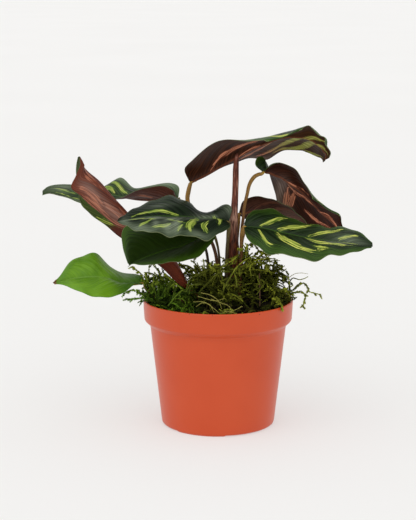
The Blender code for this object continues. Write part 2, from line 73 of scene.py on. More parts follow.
# Leaf blades: the same rows as in the CAD. Each row is a point on the left margin, on the midrib
# and on the right margin, from the base to the tip, in mm.
BLADES = {
    "leaf_right_front": dict(bow=(2.0, 2.5), rows=[
        ((18, -6, 143), (18, -7, 141), (18, -8, 140)),
        ((21, 0, 148), (21, -8, 141), (20, -14, 134)),
        ((28, 6, 151), (29, -10, 141), (26, -22, 130)),
        ((40, 8, 150), (40, -13, 139), (35, -32, 126)),
        ((52, 6, 144), (51, -16, 137), (47, -38, 127)),
        ((65, 3, 141), (63, -19, 135), (62, -41, 123)),
        ((77, -4, 140), (75, -22, 134), (75, -42, 127)),
        ((89, -12, 141), (87, -26, 133), (87, -41, 128)),
        ((98, -22, 138), (96, -30, 132), (96, -37, 130)),
        ((104, -32, 134), (104, -33, 132), (103, -34, 131)),
    ]),
    "leaf_left_front": dict(bow=(2.5, 2.0), rows=[
        ((8, -13, 142), (7, -12, 145), (8, -11, 148)),
        ((6, -18, 141), (3, -12, 147), (9, -6, 154)),
        ((0, -25, 139), (-3, -14, 148), (3, 0, 155)),
        ((-8, -34, 136), (-11, -18, 149), (-9, 4, 148)),
        ((-21, -43, 141), (-22, -24, 151), (-20, 2, 156)),
        ((-32, -49, 141), (-33, -30, 152), (-33, -4, 162)),
        ((-43, -53, 145), (-43, -36, 153), (-45, -14, 160)),
        ((-53, -56, 146), (-53, -42, 153), (-56, -26, 157)),
        ((-60, -56, 149), (-61, -47, 152), (-63, -38, 154)),
        ((-66, -52, 151), (-67, -51, 152), (-66, -50, 154)),
    ]),
    "leaf_left_hanging": dict(bow=(1.0, 2.0), rows=[
        ((-2, -12, 134), (-3, -10, 136), (-4, -8, 137)),
        ((-6, -19, 130), (-8, -10, 136), (-9, 2, 141)),
        ((-13, -27, 124), (-16, -13, 133), (-18, 3, 144)),
        ((-23, -34, 122), (-26, -17, 129), (-29, 1, 146)),
        ((-33, -39, 122), (-36, -21, 127), (-42, -3, 146)),
        ((-43, -42, 121), (-47, -26, 124), (-55, -9, 144)),
        ((-53, -43, 121), (-54, -32, 122), (-65, -16, 141)),
        ((-58, -41, 121), (-58, -37, 121), (-65, -26, 131)),
        ((-61, -40, 119), (-60, -39, 120), (-61, -38, 121)),
    ]),
    "leaf_left_folded": dict(bow=(-3.0, -4.0), rows=[
        ((-22, 1, 95), (-21, 0, 97), (-22, -1, 96)),
        ((-29, 4, 101), (-25, 2, 104), (-29, -4, 101)),
        ((-41, 8, 110), (-31, 4, 114), (-40, -6, 114)),
        ((-53, 12, 120), (-42, 6, 125), (-50, -6, 126)),
        ((-69, 15, 130), (-55, 8, 137), (-60, -4, 136)),
        ((-81, 17, 139), (-65, 9, 149), (-72, -3, 142)),
        ((-90, 18, 146), (-74, 9, 159), (-84, -5, 152)),
        ((-96, 18, 152), (-83, 8, 170), (-94, -8, 162)),
        ((-98.5, 16.5, 164), (-91, 8, 177), (-101, -8, 168)),
        ((-99.5, 14.5, 174.5), (-95, 8.5, 182), (-98, -3, 176)),
        ((-99, 12, 181.5), (-96, 8, 185), (-95.5, 2.5, 182.5)),
        ((-97.5, 8, 187.5), (-96.5, 7, 188), (-96, 6, 187)),
    ]),
    "leaf_left_back": dict(bow=(-1.5, 2.0), rows=[
        ((-30, 14, 160), (-28, 17, 157), (-28, 20, 158)),
        ((-32, 8, 165), (-37, 18, 156), (-28, 30, 163)),
        ((-40, 6, 167), (-47, 20, 156), (-35, 36, 166)),
        ((-52, 8, 166), (-57, 24, 156), (-49, 41, 162)),
        ((-65, 14, 159), (-68, 28, 157), (-61, 46, 161)),
        ((-76, 23, 156), (-78, 33, 158), (-71, 51, 167)),
        ((-90, 26, 153), (-88, 37, 157), (-82, 53, 160)),
        ((-101, 28, 153), (-100, 39, 158), (-95, 52, 162)),
        ((-111, 31, 157), (-112, 40, 159), (-109, 49, 162)),
        ((-120, 35, 158), (-120, 41, 159), (-121, 46, 162)),
        ((-126, 40, 156), (-126, 41, 157), (-126, 42, 159)),
    ]),
    "leaf_low_left": dict(bow=(2.0, 2.0), rows=[
        ((-53, -7, 100), (-52, -6, 101), (-52, -5, 102)),
        ((-58, -13, 101), (-59, -7, 101), (-54, 2, 105)),
        ((-66, -22, 97), (-68, -9, 102), (-64, 8, 105)),
        ((-74, -29, 96), (-77, -11, 106), (-75, 8, 109)),
        ((-84, -33, 97), (-87, -14, 107), (-85, 4, 120)),
        ((-93, -33, 100), (-96, -17, 107), (-95, -1, 119)),
        ((-102, -29, 103), (-104, -20, 106), (-103, -9, 116)),
        ((-109, -25, 104), (-110, -22, 105), (-109, -17, 108)),
        ((-112, -25, 104), (-113, -24, 105), (-112, -23, 106)),
    ]),
    "leaf_top": dict(bow=(2.0, 3.0), rows=[
        ((-18, 8, 169), (-19, 6, 170), (-20, 4, 171)),
        ((-13, 16, 171), (-15, 7, 172), (-23, -6, 181)),
        ((-4, 24, 175), (-6, 8, 177), (-17, -14, 188)),
        ((8, 30, 179), (5, 10, 183), (-7, -17, 198)),
        ((19, 33, 183), (16, 11, 189), (6, -16, 202)),
        ((28, 34, 183), (26, 12, 194), (21, -13, 201)),
        ((36, 34, 183), (36, 12, 198), (34, -9, 201)),
        ((47, 32, 189), (46, 12, 201), (47, -8, 204)),
        ((58, 28, 190), (56, 11, 201), (56.5, -7, 208.5)),
        ((62.5, 25, 188.5), (61, 9.5, 200.5), (61.5, -8, 211)),
        ((66.5, 22, 187), (66, 8, 198.5), (65, -6, 208)),
        ((69.5, 17, 186.5), (69, 7, 196), (68.5, -5, 204)),
        ((71.5, 13, 186.5), (71.5, 6, 194), (72.5, -4, 202)),
        ((72.5, 10, 185.5), (73, 5.5, 191.5), (73, -2, 197.5)),
        ((72.5, 8, 185), (74.5, 5, 189.5), (77, 0, 192)),
        ((72.5, 7, 184), (74, 5, 186), (76.5, 2, 188.5)),
    ]),
    "leaf_right_drooping": dict(bow=(1.5, 2.5), rows=[
        ((30.5, 4.5, 178), (31.5, 3, 177.5), (32, 2, 178.5)),
        ((26, 7, 182), (32, 3, 178), (33, 1, 179.5)),
        ((27, 10, 186.5), (32.5, 3, 178), (34, -0.5, 181)),
        ((31, 13, 187), (33.5, 3.5, 177.5), (35.5, -2, 182)),
        ((34.5, 16, 181), (34.5, 4, 177.5), (37.5, -3, 183.5)),
        ((36, 18.5, 174.5), (36.5, 4.5, 177), (40, -4.5, 184.5)),
        ((38, 22, 167.5), (39.5, 6, 175.5), (43.5, -6, 185)),
        ((40.5, 26, 159), (44, 8, 173.5), (48.5, -6.5, 183.5)),
        ((43.5, 30, 150), (50, 11, 169), (54, -5, 179)),
        ((52, 32, 144.5), (57, 14.5, 164), (59.5, -2, 170.5)),
        ((62, 34, 137), (64, 18.5, 157), (65, 3, 161)),
        ((72, 34, 130), (72, 23, 147.5), (73, 9, 153.5)),
        ((80, 34, 126), (81.5, 27, 138.5), (85, 17, 146)),
        ((84.5, 33, 125), (86, 29.5, 133), (87.5, 22, 139)),
        ((88, 32, 125), (89.5, 31, 128.5), (90, 28, 131.5)),
    ]),
    "leaf_right_back": dict(bow=(2.0, 2.0), rows=[
        ((16, 14, 145), (15, 12, 147), (15, 10, 149)),
        ((23, 20, 140), (20, 13, 148), (18, 9, 157)),
        ((31, 26, 135), (27, 14, 149), (28, 6, 160)),
        ((41, 30, 131), (37, 16, 148), (38, 5, 158)),
        ((52, 32, 128), (47, 18, 144), (49, 6, 153)),
        ((58, 32, 125), (56, 20, 138), (57, 9, 146)),
        ((64, 29, 125), (62, 22, 133), (63, 14, 139)),
        ((68, 25, 128), (68, 24, 128), (68, 22, 130)),
    ]),
}

# Each stalk is a line of points (x, y, z, radius) in mm, from the blade down to the crown.
STALKS = {
    "stalk_right_front": [(17.4, -6.6, 140.2, 1.4), (16.8, -5.5, 136, 2.1), (16.2, -4.5, 130, 1.5),
                          (15.8, -4, 118, 1.4), (15, -4, 100, 1.5), (14, -4, 86.6, 1.7)],
    "stalk_left_front": [(7.4, -11.4, 144, 1.3), (7, -10.4, 139, 1.7), (6.4, -8.6, 130, 1.4),
                         (6, -7.4, 116, 1.4), (6, -6.8, 100, 1.4), (6, -6.4, 86.6, 1.6)],
    "stalk_left_hanging": [(-2.4, -9.6, 135, 1.2), (-1.4, -8.4, 131.5, 1.3), (0, -6, 125, 1.1),
                           (1, -4, 115, 1.1), (1.4, -3, 100, 1.2), (1.6, -2.6, 86.6, 1.3)],
    "stalk_left_folded": [(-20.3, -0.2, 95.6, 1.7), (-17.5, -0.6, 92.6, 1.8), (-13.5, -1, 89.4, 1.8),
                          (-10.6, -1.2, 87.6, 1.7)],
    "stalk_left_back": [(-27.4, 16.6, 156.4, 1.2), (-25.6, 15.6, 152, 1.5), (-20, 13, 145, 1.2),
                        (-13, 9.6, 134, 1.2), (-8, 7, 120, 1.2), (-6.4, 5.4, 104, 1.2), (-6, 5, 86.6, 1.4)],
    "stalk_low_left": [(-51.3, -5.8, 100.4, 1.2), (-50.2, -5.8, 97.6, 1.4), (-46.5, -5.9, 93.5, 1.3),
                       (-36, -5.8, 89.6, 1.2), (-22, -5.3, 87.8, 1.2), (-10.6, -4.8, 87.4, 1.2)],
    "stalk_top": [(-19.3, 6, 169.2, 1.4), (-20.6, 6, 164, 1.7), (-21.3, 6, 157.5, 1.6),
                  (-18.5, 6, 149.5, 1.4), (-10.5, 5.4, 138, 1.3), (-3.6, 4.4, 126, 1.3),
                  (-0.6, 3.6, 112, 1.3), (0.4, 3.2, 86.6, 1.5)],
    "stalk_right_drooping": [(29.9, 2.8, 176.4, 1.3), (27.8, 2.7, 176, 1.4), (24.6, 2.5, 174, 1.5),
                             (21.6, 2.4, 169, 1.4), (20, 2.3, 162, 1.3), (18.2, 2.3, 154, 1.2),
                             (17.5, 2.4, 146, 1.2), (16.4, 2.8, 136, 1.2), (16.2, 3, 120, 1.2),
                             (15.6, 3.2, 102, 1.3), (15, 3.2, 86.6, 1.5)],
    "stalk_right_back": [(14.6, 11.5, 146, 1.2), (14.2, 10.8, 140, 1.4), (13.4, 9.4, 130, 1.2),
                         (12, 8, 112, 1.2), (10.6, 7.2, 86.6, 1.4)],
}

# Rolled new leaf in the middle, same form
SPEAR = [(12.9, 0, 191, 0.5), (12.6, 0, 187.5, 1.6), (12.2, 0, 180, 2.1), (12.1, 0, 172, 2.2),
         (11.7, 0, 160, 2.3), (10.9, 0, 148, 2.9), (10, 0, 136, 3.7), (9.6, 0, 122, 4.2),
         (9.2, 0, 104, 4.3), (9, 0, 86.6, 4.0)]

# Its roll: an outer edge that lies on it as a raised lip and winds down round it, and sheaths that
# thicken its foot between two heights
ROLL_STEPS = 150
ROLL_SIDES = 40
ROLL_INNER = 0.9  # share of the radius where the blade goes under its edge
ROLL_LIP = 0.17  # share of the radius that the edge stands proud
SEAM_START = -120.0  # degrees, at the tip
SEAM_TURN = 150.0
FOOT_SWELL = 0.14
FOOT_SWELL_HEIGHTS = (138.0, 124.0)

# Long shoots of the moss that reach past the rim, (x, y, z) in mm
SPRIGS = {
    "moss_sprig_right_long": [(49.6, -9, 95.5), (52.5, -10, 97.5), (55, -10.5, 100.5), (59, -11, 102),
                              (61.5, -11, 100), (62.5, -11.5, 96.5), (67, -11.5, 95), (71, -11.5, 94)],
    "moss_sprig_right_hanging": [(47, -17.5, 94), (51, -19, 96.5), (56, -20, 98), (59.5, -20.5, 96),
                                 (59.5, -20.5, 92.5), (58.5, -20.5, 89), (58.5, -20.5, 87)],
    "moss_sprig_right_upper": [(50, 2, 100.5), (52.5, 2, 103), (57, 1.5, 102), (60.5, 1, 103),
                               (63, 0.5, 104.5)],
    "moss_sprig_left": [(-47.6, -13, 92.5), (-52.5, -13.5, 95), (-56.5, -14, 97), (-61, -14, 97.5),
                        (-65, -14, 95.5)],
    "moss_sprig_left_low": [(-45.8, -17, 91.5), (-51.5, -18, 93), (-57.5, -18.5, 92.5), (-63.5, -18.5, 92.5)],
}
# Dry twig, (x, y, z, radius) in mm
TWIG = [(28.5, -16, 82.2, 0.5), (28.7, -16.1, 93, 0.5), (28.3, -15.9, 110, 0.4)]

# How each blade looks. A streak is its half width in mm and the points of its line, each the share of
# the leaf's length and the share across (-1 left margin, 0 midrib, 1 right margin). above and below
# list them for the two sides; where there is no list, regular ones are grown from streaks (their
# number in the leaf's length), start (left half, right half) and sweep (how far they lean forward).
# Each patch of painted sheen, a pale painted highlight, is share along, share across, its two half sizes and
# its strength.
# ruffle is the height of the margin's waves in mm, waves their number, quilt the height of the swells
# between side veins. curl turns part of a margin over: half, from, to, share of width.
# Tones come in pairs, dark and light, as screen values: ground for the middle of the upper side, rim
# for its border, under for the underside, lime_tone for the streaks. lime and salmon say how strong
# the streaks are above and below, veins how clear the fine veins are, gloss how much the upper side
# shines. backlit is where along the leaf light comes through, stain where its foot turns red-brown.
PLAIN_LOOK = dict(
    streaks=4.7, start=(0.12, 0.17), sweep=0.30, above=None, below=None, lime=1.0, salmon=0.8,
    lime_tone=((76, 102, 22), (218, 220, 106)), painted_sheen_above=(), painted_sheen_below=(), veins=1.0,
    ruffle=0.7, waves=5.0, quilt=0.2, curl=None, backlit=(2.0, 3.0), stain=(-2.0, -1.0), gloss=0.15,
    under=((40, 19, 13), (84, 44, 32)), ground=((10, 22, 9), (36, 54, 24)),
    rim=((20, 46, 9), (70, 100, 32)), seed=0.0)
LOOKS = {
    "leaf_right_front": dict(
        above=((1.1, ((0.13, -0.08), (0.24, -0.39), (0.34, -0.8))),
               (2.0, ((0.27, -0.06), (0.42, -0.42), (0.54, -0.88))),
               (1.7, ((0.5, -0.07), (0.66, -0.46), (0.79, -0.74))),
               (1.1, ((0.74, -0.1), (0.88, -0.52))),
               (1.2, ((0.12, 0.2), (0.16, 0.5), (0.2, 0.66), (0.29, 0.72))),
               (2.2, ((0.24, 0.05), (0.34, 0.45), (0.44, 0.63), (0.58, 0.69))),
               (1.9, ((0.48, 0.05), (0.62, 0.35), (0.83, 0.56))),
               (1.0, ((0.53, 0.46), (0.65, 0.73))),
               (0.9, ((0.72, 0.08), (0.9, 0.36)))),
        painted_sheen_above=((0.82, -0.1, 0.12, 0.3, 0.6), (0.72, 0.3, 0.1, 0.15, 0.4)),
        ruffle=0.8, waves=6, seed=1.0),
    "leaf_left_front": dict(
        above=((1.3, ((0.86, 0.13), (0.75, 0.2), (0.63, 0.2), (0.46, 0.05))),
               (0.9, ((0.9, -0.42), (0.8, -0.31), (0.66, -0.34))),
               (1.3, ((0.7, -0.45), (0.76, -0.66), (0.8, -0.8))),
               (1.3, ((0.54, -0.5), (0.6, -0.68), (0.68, -0.82))),
               (1.1, ((0.43, -0.6), (0.45, -0.72), (0.47, -0.84))),
               (2.1, ((0.29, -0.16), (0.34, -0.4), (0.37, -0.62), (0.36, -0.82))),
               (1.8, ((0.2, -0.26), (0.25, -0.5), (0.23, -0.74))),
               (1.2, ((0.14, 0.1), (0.1, -0.1), (0.1, -0.38), (0.12, -0.6))),
               (0.7, ((0.56, -0.26), (0.41, -0.5)))),
        painted_sheen_above=((0.78, -0.92, 0.12, 0.2, 0.9), (0.56, -0.7, 0.05, 0.24, 1.0),
                     (0.48, -0.62, 0.04, 0.3, 1.0), (0.66, -0.6, 0.03, 0.2, 0.7), (0.2, 0.05, 0.1, 0.16, 0.7),
                     (0.6, -0.25, 0.22, 0.1, 0.6), (0.3, -0.9, 0.1, 0.12, 0.6), (0.06, 0.75, 0.05, 0.4, 0.6),
                     (0.95, -0.4, 0.06, 0.6, 0.8), (0.62, 0.45, 0.1, 0.12, 0.3)),
        lime_tone=((76, 96, 30), (184, 196, 92)), gloss=0.07, ruffle=0.6, waves=6.5,
        ground=((7, 14, 8), (29, 42, 26)), rim=((14, 26, 12), (50, 66, 40)), seed=2.0),
    "leaf_left_hanging": dict(above=(), below=(), veins=0.35, ruffle=0.3, quilt=0.05,
                              ground=((20, 36, 4), (40, 64, 10)), rim=((34, 58, 6), (62, 96, 14)), seed=3.0),
    "leaf_left_folded": dict(
        above=((1.4, ((0.64, -0.97), (0.58, -0.93), (0.52, -0.84))), (1.2, ((0.8, -0.5), (0.7, -0.8)))),
        below=((0.9, ((0.93, 0.2), (0.87, 0.24), (0.83, 0.28), (0.76, 0.36))),
               (0.8, ((0.9, 0.42), (0.84, 0.44), (0.79, 0.44))),
               (1.8, ((0.86, 0.86), (0.8, 0.78), (0.75, 0.76), (0.68, 0.8))),
               (1.0, ((0.82, 0.97), (0.72, 0.93), (0.62, 0.95), (0.5, 0.9))),
               (2.6, ((0.7, 0.72), (0.62, 0.66), (0.54, 0.66))),
               (1.6, ((0.62, 0.4), (0.57, 0.42), (0.53, 0.44)))),
        painted_sheen_above=((0.93, -0.5, 0.06, 0.5, 0.5),),
        painted_sheen_below=((0.62, 0.75, 0.14, 0.2, 0.6), (0.82, 0.7, 0.08, 0.2, 0.4)),
        stain=(0.5, 0.56), ruffle=0.3, quilt=0.12, salmon=0.5, under=((60, 21, 11), (118, 57, 36)),
        ground=((26, 36, 8), (60, 76, 24)), rim=((34, 46, 12), (84, 102, 40)), seed=4.0),
    "leaf_left_back": dict(
        above=((1.9, ((0.38, 0.14), (0.43, 0.3), (0.49, 0.5), (0.56, 0.68))),
               (1.6, ((0.47, 0.06), (0.51, 0.2), (0.57, 0.38), (0.62, 0.5))),
               (1.0, ((0.93, 0.3), (0.86, 0.12), (0.77, -0.06))),
               (0.8, ((0.9, -0.2), (0.82, -0.42), (0.7, -0.5))),
               (0.8, ((0.63, 0.06), (0.68, 0.24), (0.74, 0.44)))),
        below=((0.8, ((0.2, -0.3), (0.34, -0.6))), (0.8, ((0.34, -0.2), (0.46, -0.5)))),
        painted_sheen_above=((0.88, 0.3, 0.1, 0.5, 0.6), (0.5, 0.95, 0.12, 0.2, 0.6), (0.68, 0.5, 0.06, 0.3, 0.5),
                     (0.16, 0.8, 0.12, 0.2, 0.6), (0.75, -0.7, 0.1, 0.2, 0.5)),
        lime_tone=((62, 110, 16), (184, 192, 96)), salmon=0.35, ruffle=0.6,
        ground=((14, 28, 9), (56, 76, 38)), rim=((22, 44, 12), (86, 112, 60)),
        under=((48, 22, 14), (100, 56, 42)), seed=5.0),
    "leaf_low_left": dict(ruffle=0.3, veins=0.7, painted_sheen_above=((0.25, 0.5, 0.14, 0.3, 0.4),), seed=6.0),
    "leaf_top": dict(
        below=((1.9, ((0.15, 0.06), (0.24, 0.2), (0.3, 0.24), (0.37, 0.29), (0.45, 0.33), (0.53, 0.29))),
               (0.7, ((0.12, -0.05), (0.25, -0.04), (0.43, 0.04), (0.55, 0.0))),
               (1.5, ((0.32, -0.9), (0.41, -0.72), (0.5, -0.41), (0.58, -0.15))),
               (2.0, ((0.47, -0.86), (0.54, -0.71), (0.61, -0.71), (0.67, -0.62), (0.75, -0.19),
                      (0.84, 0.11), (0.93, 0.45))),
               (2.0, ((0.6, -0.86), (0.69, -0.92), (0.77, -0.79), (0.83, -0.32), (0.88, -0.05), (0.97, 0.2))),
               (1.0, ((0.77, -0.97), (0.85, -0.95), (0.93, -0.9)))),
        painted_sheen_below=((0.5, -0.97, 0.09, 0.12, 0.9),), curl=(1, 0.55, 0.76, 0.5),
        backlit=(0.5, 0.72), ruffle=0.4, quilt=0.08, salmon=0.9, under=((38, 17, 9), (76, 42, 24)), seed=7.0),
    "leaf_right_drooping": dict(
        below=((0.7, ((0.2, 0.03), (0.32, 0.04), (0.4, 0.1), (0.49, 0.15))),
               (1.5, ((0.28, -0.12), (0.38, -0.24), (0.46, -0.16), (0.53, -0.1), (0.61, -0.04))),
               (1.5, ((0.49, -0.6), (0.58, -0.64), (0.67, -0.6), (0.82, -0.5))),
               (1.2, ((0.66, -0.06), (0.77, 0.09), (0.86, 0.07), (0.93, 0.03))),
               (2.0, ((0.28, -0.22), (0.31, -0.64), (0.33, -0.94))),
               (1.8, ((0.35, -0.3), (0.36, -0.62), (0.36, -0.88)))),
        painted_sheen_below=((0.22, -0.6, 0.06, 0.5, 1.0), (0.3, -0.95, 0.1, 0.2, 0.5)), curl=(1, 0.52, 0.86, 0.45),
        ruffle=0.4, quilt=0.12, salmon=0.95, under=((30, 13, 8), (72, 36, 24)), seed=8.0),
    "leaf_right_back": dict(salmon=0.1, ruffle=0.4, quilt=0.1, under=((44, 24, 17), (80, 48, 36)),
                            painted_sheen_below=((0.7, 0.0, 0.2, 0.6, 0.4),), seed=9.0),
}

# Blade shape, in mm unless said otherwise
BLADE_THICKNESS = 0.45
MARGIN_THINNING = 0.6  # share of the thickness lost at the margin
STEPS_ALONG = 130
STEPS_ACROSS = 48
FULL_BOW_WIDTH = 12.0  # a narrower half has less bow
EASE_AT_BASE = 0.12  # shares of the length in which waves and groove set in
EASE_AT_TIP = 0.1
CURL_ROOM = 1.2  # height of the turn where a margin lies over
CURL_EASE = 0.08  # share of the length in which a curl begins and ends
QUILTS_PER_STREAK = 2.5
RUFFLE_FROM = 0.45  # share across where the margin's waves begin
WAVE_SHIFT = 0.37  # turns by which the waves differ from seed to seed
GROOVE_DEPTH = 0.7  # over the midrib; its width is a share of the half width
GROOVE_WIDTH = 0.07
GROOVE_FADE = 0.7  # share lost at the tip
RIB_HEIGHT = 0.9  # under the midrib
RIB_WIDTH = 0.05
RIB_FADE = 0.8

# Streaks. Regular ones stop at a share of the length and reach a share of the half width.
FIELD_REACH = 4.0  # mm that the field round the streaks reaches
STREAK_POINTS = 20
STREAK_TIP = 0.02  # how far inside its taper a streak ends, share of its length
STREAK_FULLNESS = 0.7  # below 1 it stays wide for longer
GROWN_LAST = 0.86
GROWN_REACH = (0.66, 0.84)
GROWN_WIDTH = (1.1, 1.9)
GROWN_PITCH = (0.85, 1.15)
GROWN_START = 0.06  # share across
GROWN_TAPER = (1.1, 0.4)  # width at the base and what it loses along the leaf

# Pattern of the veins. Edges are the two values between which a part sets in.
VEIN_CURVE = 0.22  # how much more the side veins lean near the margin
VEIN_WANDER = 0.08
WANDER_WAVES = (5.0, 1.5)  # noise cells in a leaf's length and in its half width
FINE_VEINS = 84.0  # cells in a leaf's length
BROAD_VEINS = 44.0
LINE_CELLS = 1.2  # cells of both in the half width
VEIN_EDGE = (0.36, 0.64)
THREADS = (1.7, 6.0)  # cells per mm across a streak and in a leaf's length
THREAD_EDGE = (0.38, 0.6)
THREAD_SHIFT = 1.3  # mm by which the threads move a streak's outline
SLOW_WAVES = (16.0, 4.0)
SLOW_EDGE = (0.4, 0.62)
SLOW_SHIFT = 2.8
STREAK_EDGE = (-0.1, 0.45)  # mm inside the outline
HALO_EDGE = (-1.5, 0.4)
MARGIN_BAND = (0.6, 0.9)  # shares across, for the tone of the border
MARGIN_SHIFT = 0.2
# A thin painted highlight runs along the margin between these shares across
MARGIN_HIGHLIGHT_LINE = (0.972, 0.995)
RIB_ABOVE = (0.04, 0.012)
RIB_BELOW = (0.05, 0.02)
STAINED_HALF = (0.0, -0.3)
STAIN_INSET = (0.05, 0.2)  # how much nearer to the foot the stain lies below
PAINTED_SHEEN_LINES = (0.6, 0.4)  # span and base of the painted sheen between broad veins
LOW_LEAF_CONTRAST = (0.5, 0.25)
BLOTCHES = 4.0
BLOTCH_EDGE = (0.42, 0.66)
# Painted shade darkens the low leaf towards its foot, between these shares along
LOW_LEAF_SHADE_REACH = (0.45, 0.2)
LOW_LEAF_RIB_WIDTH = (0.05, 0.015)
DRY_REACH = (0.968, 0.982)
DRY_RAGGED = 0.01
# Surface of a side: span and base of its roughness, depth in mm and strength of its veins
UPPER_SURFACE = ((0.2, 0.34), (0.08, 0.4))
UNDER_SURFACE = ((0.16, 0.38), (0.1, 0.5))
LOW_SURFACE = ((0.14, 0.34), (0.08, 0.4))

# The other materials. Grain is cells per mm across and upward, and detail; clouds are scale and
# detail; relief is depth in mm and strength. Edges and reaches are as above, x and z in mm.
STALK_GRAIN = (2.0, 0.12, 3.0)
STALK_RELIEF = (0.15, 0.6)
STALK_FADE = (0.3, 0.8)  # shares of the length where the lower tone sets in
STALK_JOINT_REACH = (0.2, 0.08)
STALK_SHADE_EDGE = (0.45, 0.7)
STALK_LIGHT_EDGE = (0.45, 0.25)
ROLL_GRAIN = (1.1, 0.12, 4.0)
ROLL_RELIEF = (0.25, 0.6)
ROLL_TONE_EDGE = (0.35, 0.6)
ROLL_FLECK_EDGE = (0.55, 0.7)
# Band of heights where the painted highlight lies on the rolled leaf
ROLL_SHEEN_FROM = (124.0, 134.0)
ROLL_SHEEN_TO = (158.0, 146.0)
ROLL_SHEEN_EDGE = (0.4, 0.6)
ROLL_FOOT_EDGE = (0.4, 0.62)
ROLL_FOOT_REACH = (0.5, 0.72)
ROLL_FOOT_STRENGTH = 0.95
ROLL_OLIVE_LEAN = 0.02
ROLL_OLIVE_X = (14.4, 15.4)
ROLL_OLIVE_Z = (130.0, 118.0)
TWIG_CLOUDS = (1.5, 3.0)
TWIG_RELIEF = (0.2, 0.8)
POT_CLOUDS = (0.03, 2.0)
POT_FINE_CLOUDS = (1.4, 3.0)
POT_RELIEF = (0.03, 0.35)
POT_ROUGHNESS = (0.1, 0.3)  # span and base
POT_MOTTLE_EDGE = (0.5, 0.8)
POT_SPECKS = 0.16
POT_SPECK_EDGE = (0.09, 0.05)
POT_DIRT_Z = (84.0, 88.0)
EARTH_DETAIL = (5.0, 0.7)  # detail and roughness of the noise
EARTH_EDGE = (0.35, 0.7)
EARTH_RELIEF = (0.8, 1.0)
MOSS_CLOUDS = (0.16, 2.0)
MOSS_PATCHES = 0.7  # how far patches change the freshness
MOSS_FRESHNESS = 0.9
MOSS_SHADE_EDGE = (0.05, 0.8)
MOSS_TIPS_EDGE = (0.0, 0.8)
MOSS_TIPS_REACH = (0.1, 0.95)
MOSS_PALE_EDGE = (0.96, 0.99)
LEFT_MOSS_EDGE = (0.05, 0.9)
LEFT_MOSS_X = (-6.0, -30.0)  # where the brighter moss sets in
LEFT_MOSS_Z = (114.0, 94.0)
FLOOR_CLOUDS = (0.0016, 1.0)

# Colours as screen values. A pair is dark and light; a tint is its strength and its tone.
HALO_STRENGTH = 0.75
HALO_TONE = ((30, 56, 10), (84, 116, 30))
LIME_SHADE = (0.35, (104, 136, 40))
# Painted sheen: the pale tone laid over the upper side as a painted highlight
PAINTED_SILVER_SHEEN = (0.8, (144, 156, 132))
GREEN_RIB = (0.45, (74, 110, 38))
# Painted highlight along the margin
PAINTED_MARGIN_HIGHLIGHT = (0.5, (150, 158, 110))
STAIN_ABOVE = ((74, 28, 18), (116, 54, 36))
SALMON = ((96, 40, 26), (230, 150, 114))
SALMON_HALO = (0.4, (140, 72, 50))
# Painted sheen on the underside, a pale rosy painted highlight
PAINTED_ROSE_SHEEN = (0.7, (176, 152, 140))
LIT_SHADE = (70, 44, 18)
LIT_TONE = ((104, 108, 28), (196, 200, 100))
LIT_STRENGTH = (0.55, 0.4)  # span and base
STAIN_STRENGTH = 0.85
STAIN_BELOW = ((92, 34, 18), (160, 78, 50))
ROSE_RIB = (0.4, (150, 88, 62))
LOW_LEAF_ABOVE = ((76, 124, 10), (124, 170, 34))
LOW_LEAF_BELOW = ((96, 132, 60), (140, 168, 92))
LOW_LEAF_BLOTCH = (0.4, (56, 104, 26))
# Painted shade near the low leaf's foot
LOW_LEAF_FOOT_SHADE = (0.55, (44, 84, 30))
# Painted sheen on the low leaf
LOW_LEAF_PAINTED_SHEEN = (1.0, (150, 164, 140))
LOW_LEAF_RIB = (0.5, (120, 158, 70))
DRY_TIP = (1.0, (112, 74, 44))
# Stalk skins: at the joint with the blade, above and below
OCHRE = ((172, 140, 58), (142, 106, 46), (104, 66, 36))
OLIVE = ((122, 104, 48), (88, 78, 36), (58, 44, 24))
MAROON = ((128, 62, 38), (118, 52, 32), (98, 42, 26))
STALK_SHADE = (0.45, (62, 34, 16))
STALK_LIGHT = (0.35, (188, 152, 92))
ROLL_TONE = ((58, 26, 20), (122, 66, 50))
ROLL_FLECKS = (0.7, (172, 132, 114))
# Painted highlight of pale sheen on the rolled leaf
ROLL_PAINTED_SHEEN = (1.0, (190, 150, 128))
ROLL_FOOT_TONE = ((50, 20, 10), (104, 48, 22))
ROLL_OLIVE = (0.6, (132, 92, 44))
TWIG_TONE = ((52, 36, 24), (128, 96, 70))
POT_TONE = ((195, 69, 25), (205, 79, 36))
POT_MOTTLE = (0.12, (170, 64, 38))
POT_DIRT = (0.8, (70, 34, 22))
SOIL_TONE = ((22, 15, 10), (66, 46, 32))
CROWN_TONE = ((52, 30, 18), (118, 78, 48))
MOSS_SHADE = ((16, 12, 5), (52, 58, 10))
MOSS_TIPS = ((46, 38, 16), (170, 178, 56))
MOSS_PALE = (0.75, (166, 158, 84))
LEFT_MOSS_TONE = ((34, 58, 8), (140, 192, 48))
LEFT_MOSS_STRENGTH = 0.7

# Stalks. Each is a little slimmer than its solid, some more, and runs on into its blade.
STALK_STEPS = 84
STALK_SIDES = 16
GROOVE_COUNT = 5
STALK_GROOVES = 0.03  # their depth, share of the radius
STALK_SLIM = 0.92
STALK_SLIMMING = {"stalk_left_hanging": 0.75, "stalk_left_front": 0.8, "stalk_left_back": 0.8,
                  "stalk_top": 0.95}
STALK_TUCK = 0.9  # mm that it lies under the second row of its blade
JOINT_RADII = (0.5, 1.0)  # at the blade's second and first row
TWIG_STEPS = 30
TWIG_SIDES = 8

